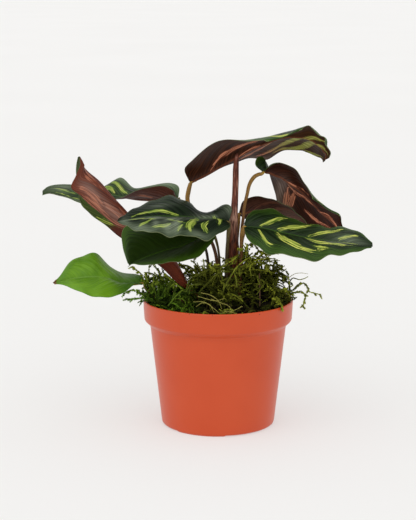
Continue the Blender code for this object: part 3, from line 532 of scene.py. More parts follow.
# Soil and crown, in mm
SOIL_AXIS = 0.01
SOIL_ROWS = 40
SOIL_SEGMENTS = 120
SOIL_GRAIN = 0.35  # noise cells per mm
SOIL_ROUGH = 1.6
CROWN_STEPS = 26
CROWN_SIDES = 48
CROWN_MIDDLE = (3.0, 0.5)
CROWN_REACH = (17.0, 10.0)
CROWN_FOOT = 76.0
CROWN_HEIGHT = 10.6
CROWN_FULLNESS = 0.4  # below 1 it stays wide for longer
CROWN_GRAIN = 0.3
CROWN_ROUGH = 0.7
CROWN_SEED = 5

# Studio. Its tones are linear light.
FLOOR_REACH = 60.0  # metres
FLOOR_TONE = ((0.42, 0.417, 0.41, 1), (0.45, 0.447, 0.442, 1))
FLOOR_GLOW = 0.45
STUDIO_WHITE = (1.0, 0.995, 0.985, 1)
AIR_POWER = 0.85
# Suns: name, power, width and turn in degrees
SUNS = (("key", 0.7, 70, (42, 0, -16)), ("fill", 0.12, 90, (60, 0, -70)))

# Moss, in mm. Its tufts are sectors, with the middle of the first and their pitch in degrees.
MOSS_SEED = 11
INNER_EDGE = 49.0
RIM_CLEARANCE = 1.2  # how far over the rim a strand must be to lean out
TUFTS = 10
FIRST_TUFT = 213.0
TUFT_PITCH = 33.6
# Mound: height without its hills and at the rim, radius where it begins to fall and width of that
# fall. Hills are middle x, y, widths x, y and height.
MOUND_BASE = 86.0
MOUND_RIM = 87.0
MOUND_EDGE = 40.0
MOUND_EDGE_WIDTH = 11.0
HILLS = ((14, 8, 26, 18, 15), (-44, -4, 10, 14, 7), (-10, 12, 18, 14, 9), (34, 2, 12, 18, 6))
# Dense body of a tuft: steps outward and round, share of the tuft's sector, radius where it starts
# and how far it reaches from there
CUSHION_STEPS = (20, 14)
CUSHION_OVERLAP = 1.1
CUSHION_START = 1.0
CUSHION_REACH = 49.6
CUSHION_DEPTH = 3.0  # under the mound
CUSHION_ROUGH = 2.2
CUSHION_GRAIN = 0.3
# A strand is a rope with leaves along it. Places on a leaf are shares of its size, beside and ahead
# of its root; lights are shares of full brightness.
ROPE_SIDES = 5
ROPE_TAPER = 0.55
ROPE_BULGE = (0.8, 1.2)
ROPE_LIGHT = 0.1
ROPE_SHIMMER = (-0.1, 0.25)
TIP_LIGHT = 0.6  # brightness gained from foot to tip: the moss's paler tips, and partly painted shade at the foot
LEAVES_PER_STEP = 5
LEAF_SIZES = (0.6, 1.2)
LEAF_SIZE_FOOT = 1.1
LEAF_SIZE_FALL = 0.45
LEAF_TIP = (0.75, 0.8)
LEAF_BELLY = (0.45, 0.3)
LEAF_HALF_WIDTH = 0.3
LEAF_SHIMMER = (0.1, 0.5)
# The leaf lights below are partly painted shade: darker at a leaf's root, lighter at its tip.
LEAF_ROOT_LIGHT = 0.5
LEAF_BELLY_LIGHT = 0.8
LEAF_TIP_LIGHT = 0.25
CURL_SHARE = 0.5  # how much a strand keeps turning one way
SHAKE_SHARE = 0.7  # and how much it turns at random, less up and down
SHAKE_UPWARD = 0.8
# Side shoots: steps of the line between them, shares of the strand's heading and of a random one,
# droop, steps and wander of their lines, their size as shares of the strand's
SHOOT_PITCH = 3
SHOOT_AHEAD = 0.9
SHOOT_ASIDE = 0.7
SHOOT_LINE = (0.12, 7, 0.2)
SHOOT_THICK = 0.75
SHOOT_LEAF = 0.9
SHOOT_FRESHER = 0.05
SHORT_SHOOTS = (1.5, 4.0)  # on the strands whose lines are given
LONG_SHOOTS = (3.5, 7.5)
ROOT_DEPTH = 2.0  # how deep strands begin in the mound
# Carpet of short strands
CARPET_STRANDS = 1050
CARPET_RADIUS = 50.5
CARPET_LENGTH = (9, 19)
CARPET_DROOP = (0.08, 0.24)
CARPET_THICK = (0.4, 0.75)
CARPET_LEAF = 1.4
CARPET_LEAVES = 4
CARPET_LINE = (13, 0.28)  # steps and wander
CARPET_SPREAD = 0.9
CARPET_OUTWARD = 0.4
PATCH_GRAIN = 0.085  # noise cells per mm
BARE_PATCH = -0.1  # noise level under which the carpet is thin and dark
BARE_SHARE = 0.65  # share of the strands missing there
# Dark hollows in the cushion: middle x, y and half widths x, y. Fewer strands grow there, darkened as painted
# shade.
HOLLOWS = ((26, -24, 15, 16), (-8, -26, 12, 14), (44, -8, 8, 8), (-36, -8, 5, 9))
HOLLOW_SHARE = 0.8  # share of the strands that still grow there
HOLLOW_SHADED_FRESHNESS = 0.35  # share of their freshness that they keep, darkening them as painted shade
RIM_BAND = (38.0, 43.0)  # radii where the fresher, shorter moss along the rim sets in
# Stands of fronds: middle x, y, half widths x, y, top, fronds, freshness, lean to the right, droop
CLUMPS = (
    (-46, -8, 4, 9, 119, 26, 1.2, -0.08, 0.05), (-40, -14, 4, 8, 116, 18, 0.4, 0.0, 0.05),
    (-30, 12, 8, 6, 114, 16, 0.5, 0.0, 0.06), (-30, -12, 9, 6, 94, 10, 0.7, 0.1, 0.12),
    (-13, 6, 7, 6, 118, 20, 0.75, 0.1, 0.07), (-16, -8, 4, 5, 102, 10, 0.4, 0.1, 0.08),
    (-1, -9, 5, 5, 127, 24, 1.1, 0.0, 0.12), (1, -16, 4, 4, 106, 8, 0.9, 0.1, 0.12),
    (11, -12, 4, 4, 106, 8, 0.6, 0.1, 0.1), (18, 3, 4, 6, 135, 22, 1.1, 0.3, 0.15),
    (25, 1, 5, 6, 134, 24, 1.1, 0.2, 0.15), (35, -2, 4, 7, 119, 20, 1.0, 0.1, 0.1),
    (41, -11, 3, 6, 106, 10, 0.8, 0.0, 0.08), (40, -29, 3, 3, 96, 8, 1.2, 0.3, 0.1),
    (4, -45, 7, 3, 92, 10, 1.2, 0.2, 0.12),
)
CLUMP_CAP = 0.84  # share of a clump's height where its highest fronds are cut
CLUMP_LIT = 0.85  # and where their painted shade ends and they are fully lit
CLUMP_HEIGHTS = (0.65, 1.1)
CLUMP_THICK = (0.5, 0.8)
CLUMP_LEAF = 1.7
CLUMP_LINE = (16, 0.13)  # steps and wander
PAINTED_FOOT_SHADE = 0.2  # painted shade: how bright the foot of a clump is, against its top
# The stout left stalk stays in view: height of the moss in front of it at the right end of
# STALK_VIEW_X, its rise per mm to the left, and its rise per mm towards the front
STALK_VIEW_X = (-44, -20)
STALK_VIEW_Y = 2
STALK_VIEW_HEIGHT = 92.0
STALK_VIEW_RISE = 0.84
STALK_VIEW_NEAR = 0.2
# Single pale strands lying over the rest
LONG_STRANDS = (
    [(-14, -40, 99), (-8, -42, 97.5), (-2, -43, 96.5), (4, -43, 98)],
    [(-17, -40, 95), (-10, -42, 95.5), (-4, -44, 92), (1, -45, 88)],
    [(-15, -41, 92), (-11, -43, 95), (-6, -44, 94), (-3, -45, 89)],
    [(-5, -40, 97), (1, -42, 95), (7, -44, 93), (9, -46, 89)],
    [(-12, -38, 101), (-5, -40, 99.5), (0, -42, 96), (2, -43, 91)],
    [(16, -40, 92), (12, -43, 90.5), (7, -46, 89.5), (2, -48, 89)],
    [(4, -46, 90), (8, -48.5, 90), (12, -50, 89)],
    [(48, -6, 104), (53, -8, 108), (58, -10, 109), (62, -11, 108.5)],
)
LONG_THICK = 0.24
LONG_LEAF = 0.8
# The moss ends at the sides and the back along slanting lines: at OUTLINE_Z it reaches OUTLINE_X,
# LEFT_OUTLINE_X and BACK_OUTLINE_Y, and further by the slope for each mm down
OUTLINE_X = 46.5
OUTLINE_Z = 114.0
OUTLINE_SLOPE = 0.4
LEFT_OUTLINE_X = -50.0
LEFT_OUTLINE_SLOPE = 0.25
BACK_OUTLINE_Y = 20.0
BACK_OUTLINE_SLOPE = 1.3
# Single leafy strands that show against the ground
LEAFY_STRANDS = (
    [(36, -27, 90), (39, -28.5, 95.5), (41, -29.5, 94), (43, -31.5, 90.5), (44, -32.5, 87)],
    [(-48.5, -10, 93), (-50.5, -10, 100), (-52, -10, 105), (-53.5, -10, 108), (-56.5, -10, 111),
     (-59.5, -10, 113.5), (-62, -10, 112)],
    [(17, 8, 112), (19, 6, 122), (23, 5, 127), (27, 4, 124.5), (31, 3, 118)],
    [(21, 2, 110), (25, 1, 119), (29, 0, 122.5), (33, -1, 120), (36, -2, 115)],
)
# Sprigs. A bare one has no side shoots; sizes are thickness and leaf.
SPRIG_FRESHNESS = {"moss_sprig_right_long": 0.85, "moss_sprig_right_hanging": 0.9,
                   "moss_sprig_right_upper": 0.93, "moss_sprig_left": 0.9, "moss_sprig_left_low": 0.1}
BARE_SPRIGS = ("moss_sprig_right_upper",)
BARE_SIZES = (0.45, 0.9)  # thickness and leaf
SPRIG_SIZES = (0.6, 1.6)
LEAFY_SIZES = (0.6, 1.7)
LEAFY_FRESHNESS = 0.9
TORN_STEP = 3.0  # a strand is cut at a step this many times its usual one


# Small mesh tools

def make_piece(name, verts, faces, node, materials, face_material=None, uvs=None, smooth=True):
    """A mesh piece from points in mm, riding on the one body in place of a CAD node."""
    mesh = bpy.data.meshes.new(name)
    mesh.from_pydata((np.asarray(verts) * MM).tolist(), [], faces)
    for material in materials:
        mesh.materials.append(material)
    if face_material:
        mesh.polygons.foreach_set("material_index", np.asarray(face_material, dtype=np.int32))
    corners = np.empty(len(mesh.loops), dtype=np.int32)
    mesh.loops.foreach_get("vertex_index", corners)
    for map_name, values in (uvs or {}).items():
        layer = mesh.uv_layers.new(name=map_name)
        layer.data.foreach_set("uv", np.asarray(values, dtype=np.float32)[corners].ravel())
    mesh.polygons.foreach_set("use_smooth", [smooth] * len(mesh.polygons))
    mesh.validate()
    mesh.update()
    piece = bpy.data.objects.new(name, mesh)
    bpy.context.scene.collection.objects.link(piece)
    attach(piece, "root")
    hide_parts(node)


def smooth_line(points, count):
    """Points of a Catmull-Rom line through the given ones, count of them, with all columns kept."""
    points = np.asarray(points, dtype=float)
    where = np.linspace(0, len(points) - 1, count)
    row = np.minimum(where.astype(int), len(points) - 2)
    t = (where - row)[:, None]
    here, there = points[row], points[row + 1]
    before = np.where((row > 0)[:, None], points[np.maximum(row - 1, 0)], 2 * here - there)
    after = np.where((row + 2 < len(points))[:, None], points[np.minimum(row + 2, len(points) - 1)],
                     2 * there - here)
    return 0.5 * (2 * here + (there - before) * t + (2 * before - 5 * here + 4 * there - after) * t ** 2
                  + (3 * here - 3 * there + after - before) * t ** 3)


def unit(vectors):
    """The vectors at length 1."""
    return vectors / np.maximum(np.linalg.norm(vectors, axis=-1, keepdims=True), 1e-9)


def bands(values, low, high):
    """A soft step from 0 at low to 1 at high."""
    t = np.clip((values - low) / (high - low), 0, 1)
    return t * t * (3 - 2 * t)


def circle(count):
    """Angles of a full turn."""
    return np.arange(count) / count * 2 * math.pi


def ring(turn, wide, deep, height):
    """Points of a level ellipse at the angles of turn."""
    return np.stack([wide * np.cos(turn), deep * np.sin(turn), height + 0 * turn], axis=1)


def grid_faces(rows, columns, wrap=False, start=0, flip=False):
    """Quads between the rows of a grid of points, closed round if wrap is set."""
    faces = []
    for i in range(rows - 1):
        for j in range(columns if wrap else columns - 1):
            k = (j + 1) % columns
            quad = (start + i * columns + j, start + (i + 1) * columns + j,
                    start + (i + 1) * columns + k, start + i * columns + k)
            faces.append(quad[::-1] if flip else quad)
    return faces


def edge_pairs(rows, columns):
    """Neighbouring points round the edge of a grid."""
    edge = list(range(columns)) + [i * columns + columns - 1 for i in range(1, rows)]
    edge += [(rows - 1) * columns + j for j in range(columns - 2, -1, -1)]
    edge += [i * columns for i in range(rows - 2, 0, -1)]
    return zip(edge, edge[1:] + edge[:1])


# Node material tools

class Look:
    """Builds one node material with short calls."""

    def __init__(self, name, roughness, specular):
        self.material = bpy.data.materials.new(name)
        self.material.use_nodes = True
        self.tree = self.material.node_tree
        self.shader = self.tree.nodes["Principled BSDF"]
        self.shader.inputs["Roughness"].default_value = roughness
        self.shader.inputs["Specular IOR Level"].default_value = specular

    def feed(self, socket, value):
        if isinstance(value, bpy.types.NodeSocket):
            self.tree.links.new(value, socket)
        else:
            socket.default_value = value

    def math(self, operation, *values):
        node = self.tree.nodes.new("ShaderNodeMath")
        node.operation = operation
        for socket, value in zip(node.inputs, values):
            self.feed(socket, value)
        return node.outputs[0]

    def times(self, first, second):
        return self.math("MULTIPLY", first, second)

    def scaled(self, value, factor, added):
        return self.math("MULTIPLY_ADD", value, factor, added)

    def centred(self, value, size):
        """A value between 0 and 1 as one between minus and plus half the size."""
        return self.scaled(value, size, -size / 2)

    def step(self, value, low, high):
        """A soft step of value from 0 at low to 1 at high. low may be above high."""
        node = self.tree.nodes.new("ShaderNodeMapRange")
        node.interpolation_type = "SMOOTHSTEP"
        for socket, given in zip(node.inputs, (value, low, high, 0.0, 1.0)):
            self.feed(socket, given)
        return node.outputs[0]

    def mix(self, share, first, second):
        node = self.tree.nodes.new("ShaderNodeMix")
        node.data_type = "RGBA"
        self.feed(node.inputs[0], share)
        self.feed(node.inputs[6], first)
        self.feed(node.inputs[7], second)
        return node.outputs[2]

    def tones(self, share, pair):
        """A colour between the two tones of a pair."""
        return self.mix(share, rgb(*pair[0]), rgb(*pair[1]))

    def tint(self, colour, share, tint):
        """The colour with a tint, its strength and its tone, laid over it by share."""
        strength, tone = tint
        return self.mix(self.times(share, strength), colour, rgb(*tone))

    def vector(self, x, y, z):
        node = self.tree.nodes.new("ShaderNodeCombineXYZ")
        for socket, value in zip(node.inputs, (x, y, z)):
            self.feed(socket, value)
        return node.outputs[0]

    def split(self, vector):
        node = self.tree.nodes.new("ShaderNodeSeparateXYZ")
        self.feed(node.inputs[0], vector)
        return node.outputs

    def noise(self, vector, scale=1.0, detail=2.0, roughness=0.5):
        node = self.tree.nodes.new("ShaderNodeTexNoise")
        self.feed(node.inputs["Vector"], vector)
        node.inputs["Scale"].default_value = scale
        node.inputs["Detail"].default_value = detail
        node.inputs["Roughness"].default_value = roughness
        return node.outputs["Fac"]

    def cells(self, x, y, z, detail=1.0):
        """Noise over three values."""
        return self.noise(self.vector(x, y, z), detail=detail)

    def waves(self, x, y, counts, seed):
        """Noise with so many cells for each unit of x and y."""
        return self.cells(self.times(x, counts[0]), self.times(y, counts[1]), seed)

    def grain(self, across, upward, detail):
        """Noise with so many cells per mm across and upward."""
        x, y, z = self.split(self.place())
        return self.cells(self.times(x, across), self.times(y, across), self.times(z, upward), detail)

    def specks(self, vector, scale):
        """Distance to the nearest of many scattered points."""
        node = self.tree.nodes.new("ShaderNodeTexVoronoi")
        self.feed(node.inputs["Vector"], vector)
        node.inputs["Scale"].default_value = scale
        return node.outputs["Distance"]

    def uv(self, name):
        node = self.tree.nodes.new("ShaderNodeUVMap")
        node.uv_map = name
        return node.outputs[0]

    def place(self):
        """The point's place in mm."""
        node = self.tree.nodes.new("ShaderNodeTexCoord")
        scale = self.tree.nodes.new("ShaderNodeVectorMath")
        scale.operation = "SCALE"
        self.feed(scale.inputs[0], node.outputs["Object"])
        scale.inputs["Scale"].default_value = 1 / MM
        return scale.outputs[0]

    def bump(self, height, depth, strength):
        node = self.tree.nodes.new("ShaderNodeBump")
        node.inputs["Strength"].default_value = strength
        node.inputs["Distance"].default_value = depth * MM
        self.feed(node.inputs["Height"], height)
        self.feed(self.shader.inputs["Normal"], node.outputs[0])

    def colour(self, value):
        self.feed(self.shader.inputs["Base Color"], value)

    def roughness(self, value):
        self.feed(self.shader.inputs["Roughness"], value)


def rgb(red, green, blue):
    """A colour given as 0 to 255 screen values, as linear light."""
    def linear(value):
        value /= 255
        return value / 12.92 if value <= 0.04045 else ((value + 0.055) / 1.055) ** 2.4
    return (linear(red), linear(green), linear(blue), 1.0)


# Leaf materials

def vein_pattern(look, leaf, index):
    """Leaf coordinates and pattern of one side of a blade, 0 above or 1 below, as a dict of sockets."""
    along, across, _ = look.split(look.uv("leaf"))
    side = look.centred(across, 2.0)
    out = look.math("ABSOLUTE", side)
    seed = leaf["seed"]
    wander = look.waves(along, side, WANDER_WAVES, seed)
    bend = look.scaled(look.times(out, out), VEIN_CURVE, leaf["sweep"])
    vein = look.math("SUBTRACT", along, look.times(out, bend))
    vein = look.math("ADD", vein, look.times(wander, VEIN_WANDER))
    fine = look.step(look.waves(vein, side, (FINE_VEINS, LINE_CELLS), seed + 2.0), *VEIN_EDGE)
    fine = look.scaled(fine, leaf["veins"], 0.5 - 0.5 * leaf["veins"])
    lines = look.step(look.waves(vein, side, (BROAD_VEINS, LINE_CELLS), seed + 6.0), *VEIN_EDGE)
    # The maps give the streaks, their threads and the patches of painted sheen, a pale painted highlight.
    field, offset, painted_sheen = [look.split(look.uv(name))[index] for name in ("pattern", "thread", "painted_sheen")]
    offset = look.centred(offset, 2 * FIELD_REACH)
    thread = look.step(look.waves(offset, along, THREADS, seed + 11.0), *THREAD_EDGE)
    slow = look.waves(along, side, SLOW_WAVES, seed + 13.0)
    field = look.centred(field, 2 * FIELD_REACH)
    field = look.math("ADD", field, look.centred(thread, THREAD_SHIFT))
    field = look.math("ADD", field, look.centred(slow, SLOW_SHIFT))
    margin = look.step(look.math("ADD", out, look.centred(lines, MARGIN_SHIFT)), *MARGIN_BAND)
    return dict(along=along, side=side, out=out, fine=fine, lines=lines, thread=thread, margin=margin,
                streak=look.step(field, *STREAK_EDGE), halo=look.step(field, *HALO_EDGE),
                slow=look.step(slow, *SLOW_EDGE), painted_sheen=look.times(painted_sheen, look.scaled(lines, *PAINTED_SHEEN_LINES)))


def leaf_surface(look, pattern, colour, surface):
    """Links colour, roughness and relief, and gives the finished material."""
    roughness, relief = surface
    look.colour(colour)
    look.roughness(look.scaled(pattern["fine"], *roughness))
    look.bump(pattern["lines"], *relief)
    return look.material


def upper_side(name, leaf):
    """Green: dark ground, paler border, lime streaks with halos, patches of painted sheen and a painted
    highlight along the margin.
    """
    look = Look(name + "_upper", roughness=0.42, specular=leaf["gloss"])
    pattern = vein_pattern(look, leaf, 0)
    fine, out = pattern["fine"], pattern["out"]
    colour = look.mix(pattern["margin"], look.tones(fine, leaf["ground"]), look.tones(fine, leaf["rim"]))
    halo = look.times(pattern["halo"], HALO_STRENGTH * leaf["lime"])
    colour = look.mix(halo, colour, look.tones(fine, HALO_TONE))
    lime = look.tint(look.tones(pattern["thread"], leaf["lime_tone"]), pattern["slow"], LIME_SHADE)
    colour = look.mix(look.times(pattern["streak"], leaf["lime"]), colour, lime)
    # Painted sheen: pale patches stand in for the gloss highlight.
    colour = look.tint(colour, pattern["painted_sheen"], PAINTED_SILVER_SHEEN)
    colour = look.tint(colour, look.step(out, *RIB_ABOVE), GREEN_RIB)
    # Painted highlight: a thin pale line along the margin.
    colour = look.tint(colour, look.step(out, *MARGIN_HIGHLIGHT_LINE), PAINTED_MARGIN_HIGHLIGHT)
    low, high = leaf["stain"]
    stain = look.times(look.step(pattern["along"], high, low), look.step(pattern["side"], *STAINED_HALF))
    colour = look.mix(stain, colour, look.tones(fine, STAIN_ABOVE))
    return leaf_surface(look, pattern, colour, UPPER_SURFACE)


def under_side(name, leaf):
    """Wine-red: salmon streaks, patches of painted rosy sheen, and yellow-green where light comes through."""
    look = Look(name + "_under", roughness=0.46, specular=0.12)
    pattern = vein_pattern(look, leaf, 1)
    fine, along, halo = pattern["fine"], pattern["along"], pattern["halo"]
    colour = look.tint(look.tones(fine, leaf["under"]), look.times(halo, leaf["salmon"]), SALMON_HALO)
    salmon = look.tones(pattern["thread"], SALMON)
    colour = look.mix(look.times(pattern["streak"], leaf["salmon"]), colour, salmon)
    # Painted sheen: pale rosy patches stand in for the gloss highlight.
    colour = look.tint(colour, pattern["painted_sheen"], PAINTED_ROSE_SHEEN)
    lit = look.mix(halo, rgb(*LIT_SHADE), look.tones(fine, LIT_TONE))
    glow = look.times(look.step(along, *leaf["backlit"]), look.scaled(halo, *LIT_STRENGTH))
    colour = look.mix(glow, colour, lit)
    low, high = leaf["stain"]
    stain = look.step(along, high - STAIN_INSET[0], low - STAIN_INSET[1])
    colour = look.mix(look.times(stain, STAIN_STRENGTH), colour, look.tones(fine, STAIN_BELOW))
    colour = look.tint(colour, look.step(pattern["out"], *RIB_BELOW), ROSE_RIB)
    return leaf_surface(look, pattern, colour, UNDER_SURFACE)


def plain_green(name, leaf, pair):
    """The low leaf has no streaks, only fine parallel side veins, and a dry tip; its foot gets painted shade
    and a patch of painted sheen.
    """
    look = Look(name, roughness=0.42, specular=0.25)
    pattern = vein_pattern(look, leaf, 0)
    along = pattern["along"]
    colour = look.tones(look.scaled(pattern["fine"], *LOW_LEAF_CONTRAST), pair)
    blotch = look.cells(look.times(along, BLOTCHES), pattern["side"], 3.0, 2.0)
    colour = look.tint(colour, look.step(blotch, *BLOTCH_EDGE), LOW_LEAF_BLOTCH)
    # Painted shade: darker towards the foot.
    colour = look.tint(colour, look.step(along, *LOW_LEAF_SHADE_REACH), LOW_LEAF_FOOT_SHADE)
    # Painted sheen: a pale patch stands in for the gloss highlight.
    colour = look.tint(colour, pattern["painted_sheen"], LOW_LEAF_PAINTED_SHEEN)
    colour = look.tint(colour, look.step(pattern["out"], *LOW_LEAF_RIB_WIDTH), LOW_LEAF_RIB)
    ragged = look.math("ADD", along, look.times(pattern["lines"], DRY_RAGGED))
    colour = look.tint(colour, look.step(ragged, *DRY_REACH), DRY_TIP)
    return leaf_surface(look, pattern, colour, LOW_SURFACE)


# Leaf blades

def grown_streaks(leaf):
    """Regular side streaks for a blade that has no list of its own."""
    dice = random.Random(leaf["seed"])
    streaks = []
    lean = leaf["sweep"]
    for sign, share in zip((-1, 1), leaf["start"]):
        while share < GROWN_LAST:
            end = dice.uniform(*GROWN_REACH)
            line = ((share, sign * GROWN_START), (share + lean * 0.35, sign * 0.36),
                    (share + lean * 0.8, sign * end * 0.9), (share + lean * 1.1, sign * end))
            width = dice.uniform(*GROWN_WIDTH) * (GROWN_TAPER[0] - GROWN_TAPER[1] * share)
            streaks.append((width, line))
            share += dice.uniform(*GROWN_PITCH) / leaf["streaks"]
    return streaks


def streak_field(streaks, along, across, length, half_width):
    """How far in mm every point lies inside the nearest streak, below zero outside, and how far it
    lies to the side of that streak's line. Both are scaled to run from 0 to 1."""
    x, y = along * length, across * half_width
    field = np.full(along.shape, -FIELD_REACH)
    offset = np.zeros(along.shape)
    for width, line in streaks:
        curve = smooth_line(line, STREAK_POINTS) * (length, half_width)
        for k, (start, end) in enumerate(zip(curve, curve[1:])):
            run = end - start
            t = ((x - start[0]) * run[0] + (y - start[1]) * run[1]) / max(run @ run, 1e-9)
            t = np.clip(t, 0, 1)
            away = np.hypot(x - start[0] - t * run[0], y - start[1] - t * run[1])
            aside = ((x - start[0]) * run[1] - (y - start[1]) * run[0]) / max(math.hypot(*run), 1e-9)
            share = np.clip((k + t) / (STREAK_POINTS - 1), STREAK_TIP, 1 - STREAK_TIP)
            level = width * np.sin(math.pi * share) ** STREAK_FULLNESS - away
            offset = np.where(level > field, aside, offset)
            field = np.maximum(field, level)
    return [np.clip(values / (2 * FIELD_REACH) + 0.5, 0, 1) for values in (field, offset)]


def painted_sheen_field(patches, along, across):
    """Strength of the patches of painted sheen at every point."""
    painted_sheen = np.zeros(along.shape)
    for s, a, wide_s, wide_a, strength in patches:
        painted_sheen += strength * np.exp(-((along - s) / wide_s) ** 2 - ((across - a) / wide_a) ** 2)
    return np.clip(painted_sheen, 0, 1)


def turned_over(out, across, along, curl):
    """Share of the half width where each point lies once the margin strip is turned over, and how
    far round the turn it is."""
    side, start, end, share = curl
    window = bands(along, start, start + CURL_EASE) * (1 - bands(along, end - CURL_EASE, end))
    strip = share * window * (across * side > 0) / 2
    fold = 1 - strip
    past = np.clip((out - fold) / np.maximum(strip, 1e-6), 0, 1) * (strip > 1e-4)
    place = np.where(out > fold, 1 - (out - fold), out / fold)
    return place, past


def blade_sheet(leaf, looks):
    """The middle sheet of a blade: points, normals, share along, share across, thickness, length and
    half width."""
    rows = np.asarray(leaf["rows"], dtype=float)
    left, middle, right = [smooth_line(rows[:, k], STEPS_ALONG + 1) for k in range(3)]
    length = np.concatenate([[0], np.cumsum(np.linalg.norm(np.diff(middle, axis=0), axis=1))])
    along = (length / length[-1])[:, None]
    ahead = unit(np.gradient(middle, axis=0))
    up = unit(np.cross(ahead, left - right))[:, None, :]
    across = np.linspace(-1, 1, STEPS_ACROSS + 1)[None, :]
    out = np.abs(across) + 0 * along
    margin = np.where((across < 0)[..., None], left[:, None, :], right[:, None, :])
    reach = margin - middle[:, None, :]
    half_width = np.linalg.norm(reach, axis=2)
    past = 0 * out
    if looks["curl"]:
        out, past = turned_over(out, across, along, looks["curl"])
    bow = np.where(across < 0, leaf["bow"][0], leaf["bow"][1])
    lift = bow * np.minimum(1, half_width / FULL_BOW_WIDTH) * 4 * out * (1 - out)
    vein = along - looks["sweep"] * out - VEIN_CURVE * out ** 3
    ends = bands(along, 0, EASE_AT_BASE) * bands(1 - along, 0, EASE_AT_TIP)
    swells = np.cos(2 * math.pi * vein * looks["streaks"] * QUILTS_PER_STREAK)
    quilt = looks["quilt"] * swells * out * (1 - out) * 4
    turns = along * looks["waves"] + looks["seed"] * WAVE_SHIFT + 0.5 * (across < 0)
    ripple = looks["ruffle"] * np.sin(2 * math.pi * turns) * bands(out, RUFFLE_FROM, 1.0)
    groove = -GROOVE_DEPTH * np.exp(-(out / GROOVE_WIDTH) ** 2) * (1 - GROOVE_FADE * along)
    offset = lift + (quilt + ripple) * ends + groove * ends - CURL_ROOM * np.sin(past * math.pi / 2)
    points = middle[:, None, :] + reach * out[..., None] + up * offset[..., None]
    normals = unit(np.cross(np.gradient(points, axis=0), np.gradient(points, axis=1)))
    if np.sum(normals * up) < 0:
        normals = -normals
    out = np.abs(across)
    rib = RIB_HEIGHT * np.exp(-(out / RIB_WIDTH) ** 2) * (1 - RIB_FADE * along)
    thickness = BLADE_THICKNESS * (1 - MARGIN_THINNING * out ** 4) + rib
    return points, normals, along + 0 * across, across + 0 * along, thickness, length[-1], half_width.max()


def blade_maps(looks, along, across, length, half_width):
    """UV maps of both faces: place on the leaf, and streaks, their threads and painted sheen above and below.
    """
    grown = grown_streaks(looks)
    fields = [streak_field(grown if looks[key] is None else looks[key], along, across, length, half_width)
              for key in ("above", "below")]
    shines = [painted_sheen_field(looks[key], along, across) for key in ("painted_sheen_above", "painted_sheen_below")]
    maps = {"leaf": (along, across / 2 + 0.5), "pattern": [field for field, _ in fields],
            "thread": [offset for _, offset in fields], "painted_sheen": shines}
    return {key: np.tile(np.stack([first.ravel(), second.ravel()], axis=1), (2, 1))
            for key, (first, second) in maps.items()}


def blade(name, leaf):
    """One blade: an upper face, an under face and the edge between them."""
    looks = {**PLAIN_LOOK, **LOOKS[name]}
    points, normals, along, across, thickness, length, half_width = blade_sheet(leaf, looks)
    rows, columns = along.shape
    half = BLADE_THICKNESS / 2
    upper = points + normals * half
    under = points - normals * (thickness - half)[..., None]
    verts = np.concatenate([upper.reshape(-1, 3), under.reshape(-1, 3)])
    total = rows * columns
    faces = grid_faces(rows, columns, flip=True) + grid_faces(rows, columns, start=total)
    sides = [0] * (len(faces) // 2) + [1] * (len(faces) // 2)
    faces += [(a, b, b + total, a + total) for a, b in edge_pairs(rows, columns)]
    sides += [0] * (len(faces) - len(sides))
    if name == "leaf_low_left":
        materials = [plain_green("low_leaf_upper", looks, LOW_LEAF_ABOVE),
                     plain_green("low_leaf_under", looks, LOW_LEAF_BELOW)]
    else:
        materials = [upper_side(name, looks), under_side(name, looks)]
    uvs = blade_maps(looks, along, across, length, half_width)
    make_piece("blade_" + name[5:], verts, faces, name, materials, sides, uvs)


# Round stalks, rolled leaf and twig

def sweep_rings(line, radii, sides, grooves=0.0):
    """Rings of a round rod along a line."""
    ahead = unit(np.gradient(line, axis=0))
    side = np.array([1.0, 0.0, 0.0])
    if abs(ahead[0] @ side) > 0.9:
        side = np.array([0.0, 1.0, 0.0])
    rings = []
    angles = circle(sides)
    cos, sin = np.cos(angles)[:, None], np.sin(angles)[:, None]
    for radius, centre, direction in zip(radii, line, ahead):
        side = side - direction * (side @ direction)
        side /= np.linalg.norm(side)
        other = np.cross(direction, side)
        wide = radius * (1 + grooves * np.cos(angles * GROOVE_COUNT))
        rings.append(centre + wide[:, None] * (cos * side + sin * other))
    return rings


def closed_rod(rings, line):
    """Verts, faces and uvs of a rod through rings, closed by a point at each end. u runs along it."""
    steps, sides = len(rings), len(rings[0])
    faces = grid_faces(steps, sides, wrap=True)
    last = (steps - 1) * sides
    first_point, last_point = steps * sides, steps * sides + 1
    for j in range(sides):
        k = (j + 1) % sides
        faces.append((j, k, first_point))
        faces.append((last + k, last + j, last_point))
    u = np.concatenate([np.repeat(np.linspace(0, 1, steps), sides), [0, 1]])
    uvs = {"leaf": np.stack([u, 0 * u], axis=1)}
    return np.concatenate([*rings, line[:1], line[-1:]]), faces, uvs


def rod(points, steps, sides, grooves=0.0):
    """A closed rod along (x, y, z, radius) points."""
    curve = smooth_line(points, steps)
    line = curve[:, :3]
    return closed_rod(sweep_rings(line, curve[:, 3], sides, grooves), line)


def stalk_material(name, skin):
    """Grainy skin with one tone at the joint and two that fade into each other below."""
    joint, upper, lower = [rgb(*tone) for tone in skin]
    look = Look(name, roughness=0.45, specular=0.25)
    along = look.split(look.uv("leaf"))[0]
    grain = look.grain(*STALK_GRAIN)
    shade = look.mix(look.step(along, *STALK_FADE), upper, lower)
    shade = look.mix(look.step(along, *STALK_JOINT_REACH), shade, joint)
    shade = look.tint(shade, look.step(grain, *STALK_SHADE_EDGE), STALK_SHADE)
    shade = look.tint(shade, look.step(grain, *STALK_LIGHT_EDGE), STALK_LIGHT)
    look.colour(shade)
    look.bump(grain, *STALK_RELIEF)
    return look.material


